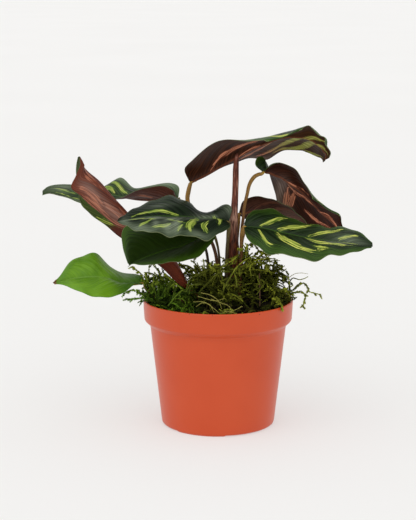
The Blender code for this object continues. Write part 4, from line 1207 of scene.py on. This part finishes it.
def stalks():
    """Each stalk as a grooved rod. All but the stout one run on under their blade."""
    ochre = stalk_material("stalk_skin", OCHRE)
    olive = stalk_material("thin_stalk_skin", OLIVE)
    maroon = stalk_material("stout_stalk_skin", MAROON)
    skins = {"stalk_left_hanging": olive, "stalk_left_front": olive, "stalk_left_back": olive,
             "stalk_left_folded": maroon}
    for name, points in STALKS.items():
        if name != "stalk_left_folded":
            rows = BLADES["leaf" + name[5:]]["rows"]
            x, y, z = rows[1][1]
            points = [(x, y, z - STALK_TUCK, JOINT_RADII[0]), (*rows[0][1], JOINT_RADII[1])] + points
        slim = STALK_SLIMMING.get(name, STALK_SLIM)
        points = [(x, y, z, radius * slim) for x, y, z, radius in points]
        verts, faces, uvs = rod(points, STALK_STEPS, STALK_SIDES, STALK_GROOVES)
        make_piece(name + "_grown", verts, faces, name, [skins.get(name, ochre)], uvs=uvs)


def roll_material():
    """Brown with pale flecks and a band of painted sheen, a pale painted highlight, redder at its foot, olive
    down its right side.
    """
    look = Look("rolled_leaf_skin", roughness=0.42, specular=0.18)
    x, _, z = look.split(look.place())
    along = look.split(look.uv("leaf"))[0]
    grain = look.grain(*ROLL_GRAIN)
    shade = look.tones(look.step(grain, *ROLL_TONE_EDGE), ROLL_TONE)
    shade = look.tint(shade, look.step(grain, *ROLL_FLECK_EDGE), ROLL_FLECKS)
    # Painted highlight: a band of heights where pale sheen is laid over the grain.
    band = look.times(look.step(z, *ROLL_SHEEN_FROM), look.step(z, *ROLL_SHEEN_TO))
    shade = look.tint(shade, look.times(band, look.step(grain, *ROLL_SHEEN_EDGE)), ROLL_PAINTED_SHEEN)
    low = look.tones(look.step(grain, *ROLL_FOOT_EDGE), ROLL_FOOT_TONE)
    foot = look.times(look.step(along, *ROLL_FOOT_REACH), ROLL_FOOT_STRENGTH)
    shade = look.mix(foot, shade, low)
    lean = look.scaled(z, ROLL_OLIVE_LEAN, x)
    right = look.times(look.step(lean, *ROLL_OLIVE_X), look.step(z, *ROLL_OLIVE_Z))
    look.colour(look.tint(shade, right, ROLL_OLIVE))
    look.bump(grain, *ROLL_RELIEF)
    return look.material


def rolled_leaf():
    """The new leaf: a rolled blade whose outer edge winds down round it as a thin raised lip."""
    curve = smooth_line(SPEAR, ROLL_STEPS)
    angles = circle(ROLL_SIDES)
    rings = []
    for k, (x, y, z, radius) in enumerate(curve):
        share = k / (ROLL_STEPS - 1)
        seam = math.radians(SEAM_START + SEAM_TURN * share)
        lip = (angles - seam) % (2 * math.pi) / (2 * math.pi)
        wide = radius * (ROLL_INNER + ROLL_LIP * lip) * (1 + FOOT_SWELL * bands(z, *FOOT_SWELL_HEIGHTS))
        rings.append(ring(angles, wide, wide, z) + (x, y, 0))
    verts, faces, uvs = closed_rod(rings, curve[:, :3])
    material = roll_material()
    make_piece("rolled_young_leaf", verts, faces, "new_leaf_rolled", [material], uvs=uvs)


def twig():
    look = Look("dry_bark", roughness=0.8, specular=0.3)
    grain = look.noise(look.place(), *TWIG_CLOUDS)
    look.colour(look.tones(grain, TWIG_TONE))
    look.bump(grain, *TWIG_RELIEF)
    verts, faces, uvs = rod(TWIG, TWIG_STEPS, TWIG_SIDES)
    make_piece("dry_twig_bark", verts, faces, "dry_twig", [look.material], uvs=uvs)


# Pot, soil and crown

def arc(centre, radius, start, end, count):
    """Points of a circle between two angles in degrees."""
    angles = np.radians(np.linspace(start, end, count))
    return [(centre[0] + radius * math.cos(a), centre[1] + radius * math.sin(a)) for a in angles]


def beside(radius, height, *offsets):
    """Profile points given as their distance outward and upward from a corner."""
    return [(radius + outward, height + upward) for outward, upward in offsets]


def pot_material():
    """Plastic with faint clouds and a few specks of dirt along the rim."""
    look = Look("terracotta_plastic", roughness=0.36, specular=0.4)
    place = look.place()
    cloud = look.noise(place, *POT_CLOUDS)
    fine = look.noise(place, *POT_FINE_CLOUDS)
    colour = look.tint(look.tones(cloud, POT_TONE), look.step(fine, *POT_MOTTLE_EDGE), POT_MOTTLE)
    specks = look.step(look.specks(place, POT_SPECKS), *POT_SPECK_EDGE)
    dirt = look.times(specks, look.step(look.split(place)[2], *POT_DIRT_Z))
    look.colour(look.tint(colour, dirt, POT_DIRT))
    look.roughness(look.scaled(fine, *POT_ROUGHNESS))
    look.bump(fine, *POT_RELIEF)
    return look.material


def pot_profile():
    """The shell's outline as (radius, height), from the lip down outside, under the floor, up inside."""
    lip = arc((RIM_RADIUS - LIP_RADIUS, POT_HEIGHT - LIP_RADIUS), LIP_RADIUS, 180, 0, 9)
    collar = [(RIM_RADIUS + (COLLAR_RADIUS - RIM_RADIUS) * t, POT_HEIGHT + (COLLAR_FOOT - POT_HEIGHT) * t)
              for t in (0.1, 0.4, 0.8)]
    crease = beside(COLLAR_RADIUS, COLLAR_FOOT, (0, 0.6), (-0.15, 0), (-0.6, -0.7))
    crease += beside(BODY_TOP_RADIUS, BODY_TOP, (0.7, 0.6), (0.25, 0.2), (0, -0.5))
    body = [(BODY_TOP_RADIUS + (BASE_RADIUS - BODY_TOP_RADIUS) * t, BODY_TOP * (1 - t))
            for t in (0.05, 0.2, 0.4, 0.6, 0.8, 0.93)]
    base = beside(BASE_RADIUS, 0.0, (0.25, 2.4), (0.05, 1.4), (-0.4, 0.5), (-1.2, 0.0))
    under = [(FOOT_RING_INNER, 0.0), (FOOT_RING_INNER - 0.4, FLOOR_UNDER), (PAD_RADIUS + 0.4, FLOOR_UNDER),
             (PAD_RADIUS, 0.0), (POT_AXIS, 0.0), (POT_AXIS, FLOOR_TOP)]
    inner = beside(BASE_RADIUS - WALL, FLOOR_TOP, (-1.2, 0), (0.2, 1.6))
    inner += beside(BODY_TOP_RADIUS - WALL, BODY_TOP, (0, 0.6))
    inner += beside(COLLAR_RADIUS - WALL, COLLAR_FOOT, (-0.6, 0.2), (0, 1.6))
    return lip + collar + crease + body + base + under + inner


def pot():
    """The moulded shell, with a rolled lip, a soft crease under the collar and three feet."""
    angles = np.arange(POT_SEGMENTS) / POT_SEGMENTS * 360
    pitch = 360 / FOOT_COUNT
    gap = np.abs((angles - FIRST_FOOT + pitch / 2) % pitch - pitch / 2) > FOOT_ARC / 2
    verts = []
    for radius, height in pot_profile():
        heights = np.where(gap & (radius > PAD_RADIUS + 1), max(height, FOOT_HEIGHT), height)
        verts.append(ring(np.radians(angles), radius, radius, heights))
    faces = grid_faces(len(verts), POT_SEGMENTS, wrap=True, flip=True)
    last = (len(verts) - 1) * POT_SEGMENTS
    for j in range(POT_SEGMENTS):
        k = (j + 1) % POT_SEGMENTS
        faces.append((last + j, last + k, k, j))
    make_piece("nursery_pot", np.concatenate(verts), faces, "pot", [pot_material()])


def earth_material(name, pair, scale):
    look = Look(name, roughness=0.95, specular=0.2)
    crumbs = look.noise(look.place(), scale, *EARTH_DETAIL)
    look.colour(look.tones(look.step(crumbs, *EARTH_EDGE), pair))
    look.bump(crumbs, *EARTH_RELIEF)
    return look.material


def soil():
    """Crumbly top over a plain filling that follows the pot's inside."""
    reach = WALL + GAP
    top = [(radius, SOIL_TOP) for radius in np.linspace(SOIL_AXIS, COLLAR_RADIUS - reach - 0.2, SOIL_ROWS)]
    filling = beside(COLLAR_RADIUS - reach, SOIL_TOP, (-0.2, -1.5))
    filling += beside(COLLAR_RADIUS - reach, COLLAR_FOOT, (-0.2, 2), (-1.4, 0.6))
    filling += beside(BODY_TOP_RADIUS - reach, BODY_TOP, (-0.2, 1.2))
    filling += beside(BASE_RADIUS - reach, FLOOR_TOP, (0, 2.4), (-1.6, GAP))
    filling.append((SOIL_AXIS, FLOOR_TOP + GAP))
    verts = []
    for row, (radius, height) in enumerate(top + filling):
        points = ring(circle(SOIL_SEGMENTS), radius, radius, height)
        if row < SOIL_ROWS:
            for point in points:
                lump = noise.fractal(Vector(point) * SOIL_GRAIN, 0.8, 2.0, 4)
                point[2] += SOIL_ROUGH * lump - SOIL_ROUGH / 2
        verts.append(points)
    faces = grid_faces(len(verts), SOIL_SEGMENTS, wrap=True, flip=True)
    material = earth_material("peat_soil", SOIL_TONE, 0.9)
    make_piece("peat_soil_filling", np.concatenate(verts), faces, "soil", [material])


def crown():
    """Lumpy rootstock, just showing between the moss."""
    noise.seed_set(CROWN_SEED)  # without it noise_vector starts from the clock
    verts = []
    for share in np.linspace(0, 1, CROWN_STEPS):
        height = CROWN_FOOT + CROWN_HEIGHT * math.sin(share * math.pi / 2)
        wide = max(math.cos(share * math.pi / 2), 0.001) ** CROWN_FULLNESS
        points = ring(circle(CROWN_SIDES), CROWN_REACH[0] * wide, CROWN_REACH[1] * wide, height)
        points += (*CROWN_MIDDLE, 0)
        for point in points:
            point += np.array(noise.noise_vector(Vector(point) * CROWN_GRAIN)) * CROWN_ROUGH
        verts.append(points)
    faces = grid_faces(CROWN_STEPS, CROWN_SIDES, wrap=True)
    faces.append(tuple(range(CROWN_SIDES)))
    faces.append(tuple(range((CROWN_STEPS - 1) * CROWN_SIDES, CROWN_STEPS * CROWN_SIDES))[::-1])
    material = earth_material("rootstock", CROWN_TONE, 0.5)
    make_piece("rootstock", np.concatenate(verts), faces, "crown", [material])


# Moss

def moss_material():
    """u is how bright a point of a strand is, from its foot to its tip, partly paler tips and partly painted
    shade at the foot; v how fresh the strand is.
    """
    look = Look("feather_moss", roughness=0.7, specular=0.12)
    u, v, _ = look.split(look.uv("leaf"))
    place = look.place()
    patch = look.centred(look.noise(place, *MOSS_CLOUDS), MOSS_PATCHES)
    fresh = look.math("ADD", look.times(v, MOSS_FRESHNESS), patch)
    shade = look.tones(look.step(fresh, *MOSS_SHADE_EDGE), MOSS_SHADE)
    tips = look.tones(look.step(fresh, *MOSS_TIPS_EDGE), MOSS_TIPS)
    colour = look.mix(look.step(u, *MOSS_TIPS_REACH), shade, tips)
    colour = look.tint(colour, look.step(v, *MOSS_PALE_EDGE), MOSS_PALE)
    x, _, z = look.split(place)
    left = look.times(look.step(x, *LEFT_MOSS_X), look.step(z, *LEFT_MOSS_Z))
    vivid = look.tones(look.step(u, *LEFT_MOSS_EDGE), LEFT_MOSS_TONE)
    look.colour(look.mix(look.times(left, LEFT_MOSS_STRENGTH), colour, vivid))
    return look.material


def mound_height(x, y):
    """Height of the moss cushion under its loose strands: low hills falling to the rim."""
    height = MOUND_BASE
    for centre_x, centre_y, wide_x, wide_y, high in HILLS:
        height += high * math.exp(-((x - centre_x) / wide_x) ** 2 - ((y - centre_y) / wide_y) ** 2)
    edge = max(0.0, (math.hypot(x, y) - MOUND_EDGE) / MOUND_EDGE_WIDTH)
    return height + (MOUND_RIM - height) * min(edge, 1) ** 1.5


class Tangle:
    """Collects many strands into one mesh."""

    def __init__(self):
        self.verts, self.faces, self.uvs = [], [], []
        self.count = 0

    def add(self, verts, faces, bright, fresh):
        """Adds a mesh with its brightness at each point and its freshness."""
        self.faces += [tuple(index + self.count for index in face) for face in faces]
        self.verts.append(verts)
        self.uvs.append(np.stack([bright, np.full(len(bright), fresh)], axis=1))
        self.count += len(verts)

    def piece(self, name, node, material):
        make_piece(name, np.concatenate(self.verts), self.faces, node, [material],
                   uvs={"leaf": np.concatenate(self.uvs)}, smooth=False)


def strand(tangle, line, dice, thick, leaf, fresh, leaves=LEAVES_PER_STEP, lit=None):
    """One moss strand: a soft rope with small pointed leaves lying along it. lit is the height where
    its painted shade is darkest and the height where it is fully lit."""
    steps = len(line)
    share = np.linspace(0, 1, steps)
    draw = np.random.default_rng(dice.randrange(10 ** 9))
    bulge = draw.uniform(*ROPE_BULGE, steps)
    rings = sweep_rings(line, thick * (1.0 - ROPE_TAPER * share) * bulge, ROPE_SIDES)
    faces = grid_faces(steps, ROPE_SIDES, wrap=True)
    faces.append(tuple(range(ROPE_SIDES))[::-1])
    faces.append(tuple(range((steps - 1) * ROPE_SIDES, steps * ROPE_SIDES)))
    level = np.ones(steps)
    if lit:
        # Painted shade: darker towards the foot of a clump
        level = PAINTED_FOOT_SHADE + (1 - PAINTED_FOOT_SHADE) * np.clip((line[:, 2] - lit[0]) / (lit[1] - lit[0]), 0, 1)
    tone = np.repeat((share * TIP_LIGHT + ROPE_LIGHT) * level, ROPE_SIDES)
    tone = tone + np.repeat(level, ROPE_SIDES) * draw.uniform(*ROPE_SHIMMER, steps * ROPE_SIDES)
    tangle.add(np.concatenate(rings), faces, np.clip(tone, 0, 1), fresh)
    strand_leaves(tangle, line, draw, leaf, fresh, leaves, level)


def strand_leaves(tangle, line, draw, leaf, fresh, leaves, level):
    """Leaves of four points each, so many at each step of the line."""
    knots = np.repeat(np.arange(1, len(line)), leaves)
    share = np.linspace(0, 1, len(line))[knots]
    count = len(knots)
    ahead = unit(np.gradient(line, axis=0))[knots]
    side = unit(np.cross(ahead, draw.normal(size=(count, 3))))
    across = np.cross(side, ahead)
    size = (leaf * draw.uniform(*LEAF_SIZES, count) * (LEAF_SIZE_FOOT - LEAF_SIZE_FALL * share))[:, None]
    root = line[knots] + (line[knots - 1] - line[knots]) * draw.uniform(0, 1, count)[:, None]
    tip = root + side * size * LEAF_TIP[0] + ahead * size * LEAF_TIP[1]
    belly = root + side * size * LEAF_BELLY[0] + ahead * size * LEAF_BELLY[1]
    half = across * size * LEAF_HALF_WIDTH
    verts = np.stack([root, belly + half, tip, belly - half], axis=1)
    faces = np.arange(count * 4).reshape(-1, 4).tolist()
    bright = np.clip(share * TIP_LIGHT + draw.uniform(*LEAF_SHIMMER, count), 0, 1) * level[knots]
    tip_light = np.clip(bright + LEAF_TIP_LIGHT * level[knots], 0, 1)
    belly_light = bright * LEAF_BELLY_LIGHT
    light = np.stack([bright * LEAF_ROOT_LIGHT, belly_light, tip_light, belly_light], axis=1)
    tangle.add(verts.reshape(-1, 3), faces, light.ravel(), fresh)


def moss_line(start, heading, length, dice, droop, steps, wander):
    """A strand's path: it sets off along heading, wanders and bends down under its weight."""
    point = np.array(start, dtype=float)
    heading = np.array(heading, dtype=float)
    heading /= np.linalg.norm(heading)
    points = [point.copy()]
    curl = np.array([dice.gauss(0, wander), dice.gauss(0, wander), 0.0])
    for _ in range(steps - 1):
        shake = [dice.gauss(0, wander), dice.gauss(0, wander), dice.gauss(0, wander * SHAKE_UPWARD)]
        shake = np.array(shake)
        heading = heading + CURL_SHARE * curl + SHAKE_SHARE * shake
        heading[2] -= droop
        heading /= np.linalg.norm(heading)
        point = point + heading * length / (steps - 1)
        points.append(point.copy())
    return np.array(points)


def kept_in_pot(line):
    """A strand below the rim follows the inside of the pot wall; only one above it may lean out. One
    in front of the stout stalk stays low. Where a strand is torn or leaves the outline it is cut."""
    radius = np.hypot(line[:, 0], line[:, 1])
    held = (line[:, 2] < POT_HEIGHT + RIM_CLEARANCE) & (radius > INNER_EDGE)
    shrink = np.where(held, INNER_EDGE / np.maximum(radius, 1), 1)
    line[:, :2] *= shrink[:, None]
    x, y = line[:, 0], line[:, 1]
    before = (x > STALK_VIEW_X[0]) & (x < STALK_VIEW_X[1]) & (y < STALK_VIEW_Y)
    ceiling = STALK_VIEW_HEIGHT + STALK_VIEW_RISE * (STALK_VIEW_X[1] - x) - STALK_VIEW_NEAR * y
    line[:, 2] = np.where(before, np.minimum(line[:, 2], ceiling), line[:, 2])
    line[:, 2] = np.maximum(line[:, 2], SOIL_TOP + 2)
    steps = np.linalg.norm(np.diff(line, axis=0), axis=1)
    below = OUTLINE_Z - line[1:, 2]
    torn = steps > TORN_STEP * max(np.median(steps), 0.3)
    torn |= line[1:, 0] > OUTLINE_X + OUTLINE_SLOPE * below
    torn |= line[1:, 0] < LEFT_OUTLINE_X - LEFT_OUTLINE_SLOPE * below
    torn |= line[1:, 1] > BACK_OUTLINE_Y + BACK_OUTLINE_SLOPE * below
    return line[:max(np.argmax(torn) + 1, 2)] if torn.any() else line


def in_hollow(x, y):
    """True where the moss is sunken and painted dark as shade."""
    return any(((x - mid_x) / wide_x) ** 2 + ((y - mid_y) / wide_y) ** 2 < 1
               for mid_x, mid_y, wide_x, wide_y in HOLLOWS)


def frond(tangle, line, dice, thick, leaf, fresh, lit=None, placed=False):
    """A strand with side shoots that bend over with it. One whose line is given has short shoots,
    which may leave the pot."""
    strand(tangle, line, dice, thick, leaf, fresh, lit=lit)
    for k in range(SHOOT_PITCH, len(line) - 1, SHOOT_PITCH):
        ahead = unit(line[k + 1] - line[k])
        side = np.array([dice.gauss(0, 1), dice.gauss(0, 1), dice.gauss(0, 0.6)])
        length = dice.uniform(*(SHORT_SHOOTS if placed else LONG_SHOOTS))
        heading = ahead * SHOOT_AHEAD + side * SHOOT_ASIDE
        shoot = moss_line(line[k], heading, length, dice, *SHOOT_LINE)
        if not placed:
            shoot = kept_in_pot(shoot)
        fresher = min(0.95, fresh + SHOOT_FRESHER)
        strand(tangle, shoot, dice, thick * SHOOT_THICK, leaf * SHOOT_LEAF, fresher, lit=lit)


def tuft_of(x, y):
    """Number of the tuft whose sector holds the point; the gap at the left goes to its neighbours."""
    turn = (math.degrees(math.atan2(y, x)) - FIRST_TUFT + TUFT_PITCH / 2) % 360
    number = int(turn / TUFT_PITCH)
    if number >= TUFTS:
        number = 0 if turn > 360 - (360 - TUFTS * TUFT_PITCH) / 2 else TUFTS - 1
    return number


def moss():
    """Strands grown all over the mound, each kept in the mesh of the tuft it starts in."""
    material = moss_material()
    tangles = [Tangle() for _ in range(TUFTS)]
    for number, tangle in enumerate(tangles):
        cushion(tangle, FIRST_TUFT + number * TUFT_PITCH)
    dice = random.Random(MOSS_SEED)
    moss_carpet(tangles, dice)
    moss_clumps(tangles, dice)
    for points in LONG_STRANDS:
        tangle = tangles[tuft_of(*points[0][:2])]
        strand(tangle, smooth_line(points, 24), dice, LONG_THICK, LONG_LEAF, 1.0, 1)
    for points in LEAFY_STRANDS:
        tangle = tangles[tuft_of(*points[0][:2])]
        frond(tangle, smooth_line(points, 22), dice, *LEAFY_SIZES, LEAFY_FRESHNESS, placed=True)
    for number, tangle in enumerate(tangles, 1):
        tangle.piece("moss_%02d" % number, "moss_tuft_%02d" % number, material)
    for name, points in SPRIGS.items():
        moss_sprig(name, smooth_line(points, 26), dice, material)


def moss_sprig(name, line, dice, material):
    """One of the long shoots past the rim, a piece of its own."""
    tangle = Tangle()
    if name in BARE_SPRIGS:
        strand(tangle, line, dice, *BARE_SIZES, SPRIG_FRESHNESS[name], 2)
    else:
        frond(tangle, line, dice, *SPRIG_SIZES, SPRIG_FRESHNESS[name], placed=True)
    tangle.piece(name + "_leafy", name, material)


def moss_carpet(tangles, dice):
    """Short strands everywhere, fewer and darker in the bare patches."""
    for _ in range(CARPET_STRANDS):
        angle = dice.uniform(0, 2 * math.pi)
        radius = CARPET_RADIUS * math.sqrt(dice.random())
        x, y = radius * math.cos(angle), radius * math.sin(angle)
        patch = noise.noise(Vector((x, y, 20.0)) * PATCH_GRAIN)
        if patch < BARE_PATCH and dice.random() < BARE_SHARE:
            continue
        hollow = in_hollow(x, y)
        if hollow and dice.random() > HOLLOW_SHARE:
            continue
        base = (x, y, mound_height(x, y) - ROOT_DEPTH)
        outward = radius / 51.0
        heading = (math.cos(angle) * outward * CARPET_OUTWARD + dice.gauss(0, CARPET_SPREAD),
                   math.sin(angle) * outward * CARPET_OUTWARD + dice.gauss(0, CARPET_SPREAD),
                   dice.uniform(0.1, 0.8))
        length = dice.uniform(*CARPET_LENGTH)
        line = moss_line(base, heading, length, dice, dice.uniform(*CARPET_DROOP), *CARPET_LINE)
        band = float(bands(radius, *RIM_BAND))
        line = line[:len(line) - int(4 * band)]
        fresh = 0.13 + 0.44 * band + (1.2 + 0.2 * band) * patch + dice.gauss(0, 0.18)
        fresh = min(0.9, max(0.0, fresh)) * (HOLLOW_SHADED_FRESHNESS if hollow else 1)
        thick = dice.uniform(*CARPET_THICK)
        tangle = tangles[tuft_of(x, y)]
        strand(tangle, kept_in_pot(line), dice, thick, CARPET_LEAF, fresh, CARPET_LEAVES)


def moss_clumps(tangles, dice):
    """Stands of tall fronds, cut level at the top, with painted shade darkening them towards the foot."""
    for centre_x, centre_y, wide_x, wide_y, top, count, clump_fresh, lean, droop in CLUMPS:
        for _ in range(count):
            x = centre_x + wide_x * dice.uniform(-1, 1)
            y = centre_y + wide_y * dice.uniform(-1, 1)
            if math.hypot(x, y) > INNER_EDGE:
                continue
            base = (x, y, mound_height(x, y) - ROOT_DEPTH)
            rise = top - base[2]
            length = max(rise, 5) * dice.uniform(*CLUMP_HEIGHTS) * (1.2 + 2 * droop)
            heading = (lean * dice.uniform(0, 1.6) + dice.gauss(0, 0.3), dice.gauss(0, 0.35), 1.0)
            line = moss_line(base, heading, length, dice, droop * dice.uniform(0.6, 1.5), *CLUMP_LINE)
            high = line[:, 2] > base[2] + CLUMP_CAP * rise
            if high.any():
                line = line[:max(np.argmax(high), 3)]
            thick = dice.uniform(*CLUMP_THICK)
            fresh = min(0.93, max(0.05, clump_fresh + dice.gauss(0, 0.16)))
            lit = (base[2], base[2] + CLUMP_LIT * rise)
            frond(tangles[tuft_of(x, y)], kept_in_pot(line), dice, thick, CLUMP_LEAF, fresh, lit)


def cushion(tangle, middle):
    """The dense body of one tuft, under its strands, near black as painted shade between them."""
    rows, columns = CUSHION_STEPS[0] + 1, CUSHION_STEPS[1] + 1
    verts = []
    for i in range(rows):
        for j in range(columns):
            angle = math.radians(middle + (j / (columns - 1) - 0.5) * TUFT_PITCH * CUSHION_OVERLAP)
            radius = CUSHION_START + CUSHION_REACH * i / (rows - 1)
            x, y = radius * math.cos(angle), radius * math.sin(angle)
            lump = CUSHION_ROUGH * noise.noise(Vector((x * CUSHION_GRAIN, y * CUSHION_GRAIN, 3.0)))
            verts.append((x, y, max(mound_height(x, y) - CUSHION_DEPTH + lump, SOIL_TOP + 1)))
    total = len(verts)
    verts += [(x, y, SOIL_TOP + 0.4) for x, y, _ in verts]
    faces = grid_faces(rows, columns) + grid_faces(rows, columns, start=total, flip=True)
    faces += [(b, a, a + total, b + total) for a, b in edge_pairs(rows, columns)]
    # Painted shade: no brightness and little freshness make the cushion near black.
    tangle.add(np.array(verts), faces, np.zeros(2 * total), 0.05)


# Studio

def studio():
    """A wide floor of pale backlit paper that fills the view."""
    mesh = bpy.data.meshes.new("floor")
    corners = [(x * FLOOR_REACH, y * FLOOR_REACH, 0) for x, y in ((-1, -1), (1, -1), (1, 1), (-1, 1))]
    mesh.from_pydata(corners, [], [(0, 1, 2, 3)])
    floor = bpy.data.objects.new("floor", mesh)
    bpy.context.scene.collection.objects.link(floor)
    look = Look("pale_paper", roughness=0.9, specular=0.1)
    cloud = look.noise(look.place(), *FLOOR_CLOUDS)
    look.colour(look.mix(cloud, *FLOOR_TONE))
    look.shader.inputs["Emission Color"].default_value = STUDIO_WHITE
    look.shader.inputs["Emission Strength"].default_value = FLOOR_GLOW
    mesh.materials.append(look.material)


def lights():
    """Bright even air and two very wide soft suns from the left."""
    world = bpy.data.worlds.new("studio_air")
    bpy.context.scene.world = world
    world.use_nodes = True
    background = world.node_tree.nodes["Background"]
    background.inputs["Color"].default_value = STUDIO_WHITE
    background.inputs["Strength"].default_value = AIR_POWER
    for name, power, angle, turn in SUNS:
        data = bpy.data.lights.new(name, "SUN")
        data.energy = power
        data.angle = math.radians(angle)
        lamp = bpy.data.objects.new(name, data)
        lamp.rotation_euler = [math.radians(value) for value in turn]
        bpy.context.scene.collection.objects.link(lamp)
    bpy.context.scene.view_settings.view_transform = "Standard"


def camera():
    """The photo's camera."""
    data = bpy.data.cameras.new("camera")
    data.sensor_width = SENSOR
    data.lens = FOCAL_PIXELS * SENSOR / PHOTO_HEIGHT
    data.clip_end = 50
    item = bpy.data.objects.new("camera", data)
    bpy.context.scene.collection.objects.link(item)
    item.location = Vector(CAMERA_PLACE) * MM
    item.rotation_euler = (math.pi / 2 - CAMERA_DOWN, 0, 0)
    bpy.context.scene.camera = item


for leaf_name, leaf_table in BLADES.items():
    blade(leaf_name, leaf_table)
stalks()
rolled_leaf()
pot()
soil()
crown()
moss()
twig()
studio()
lights()
camera()
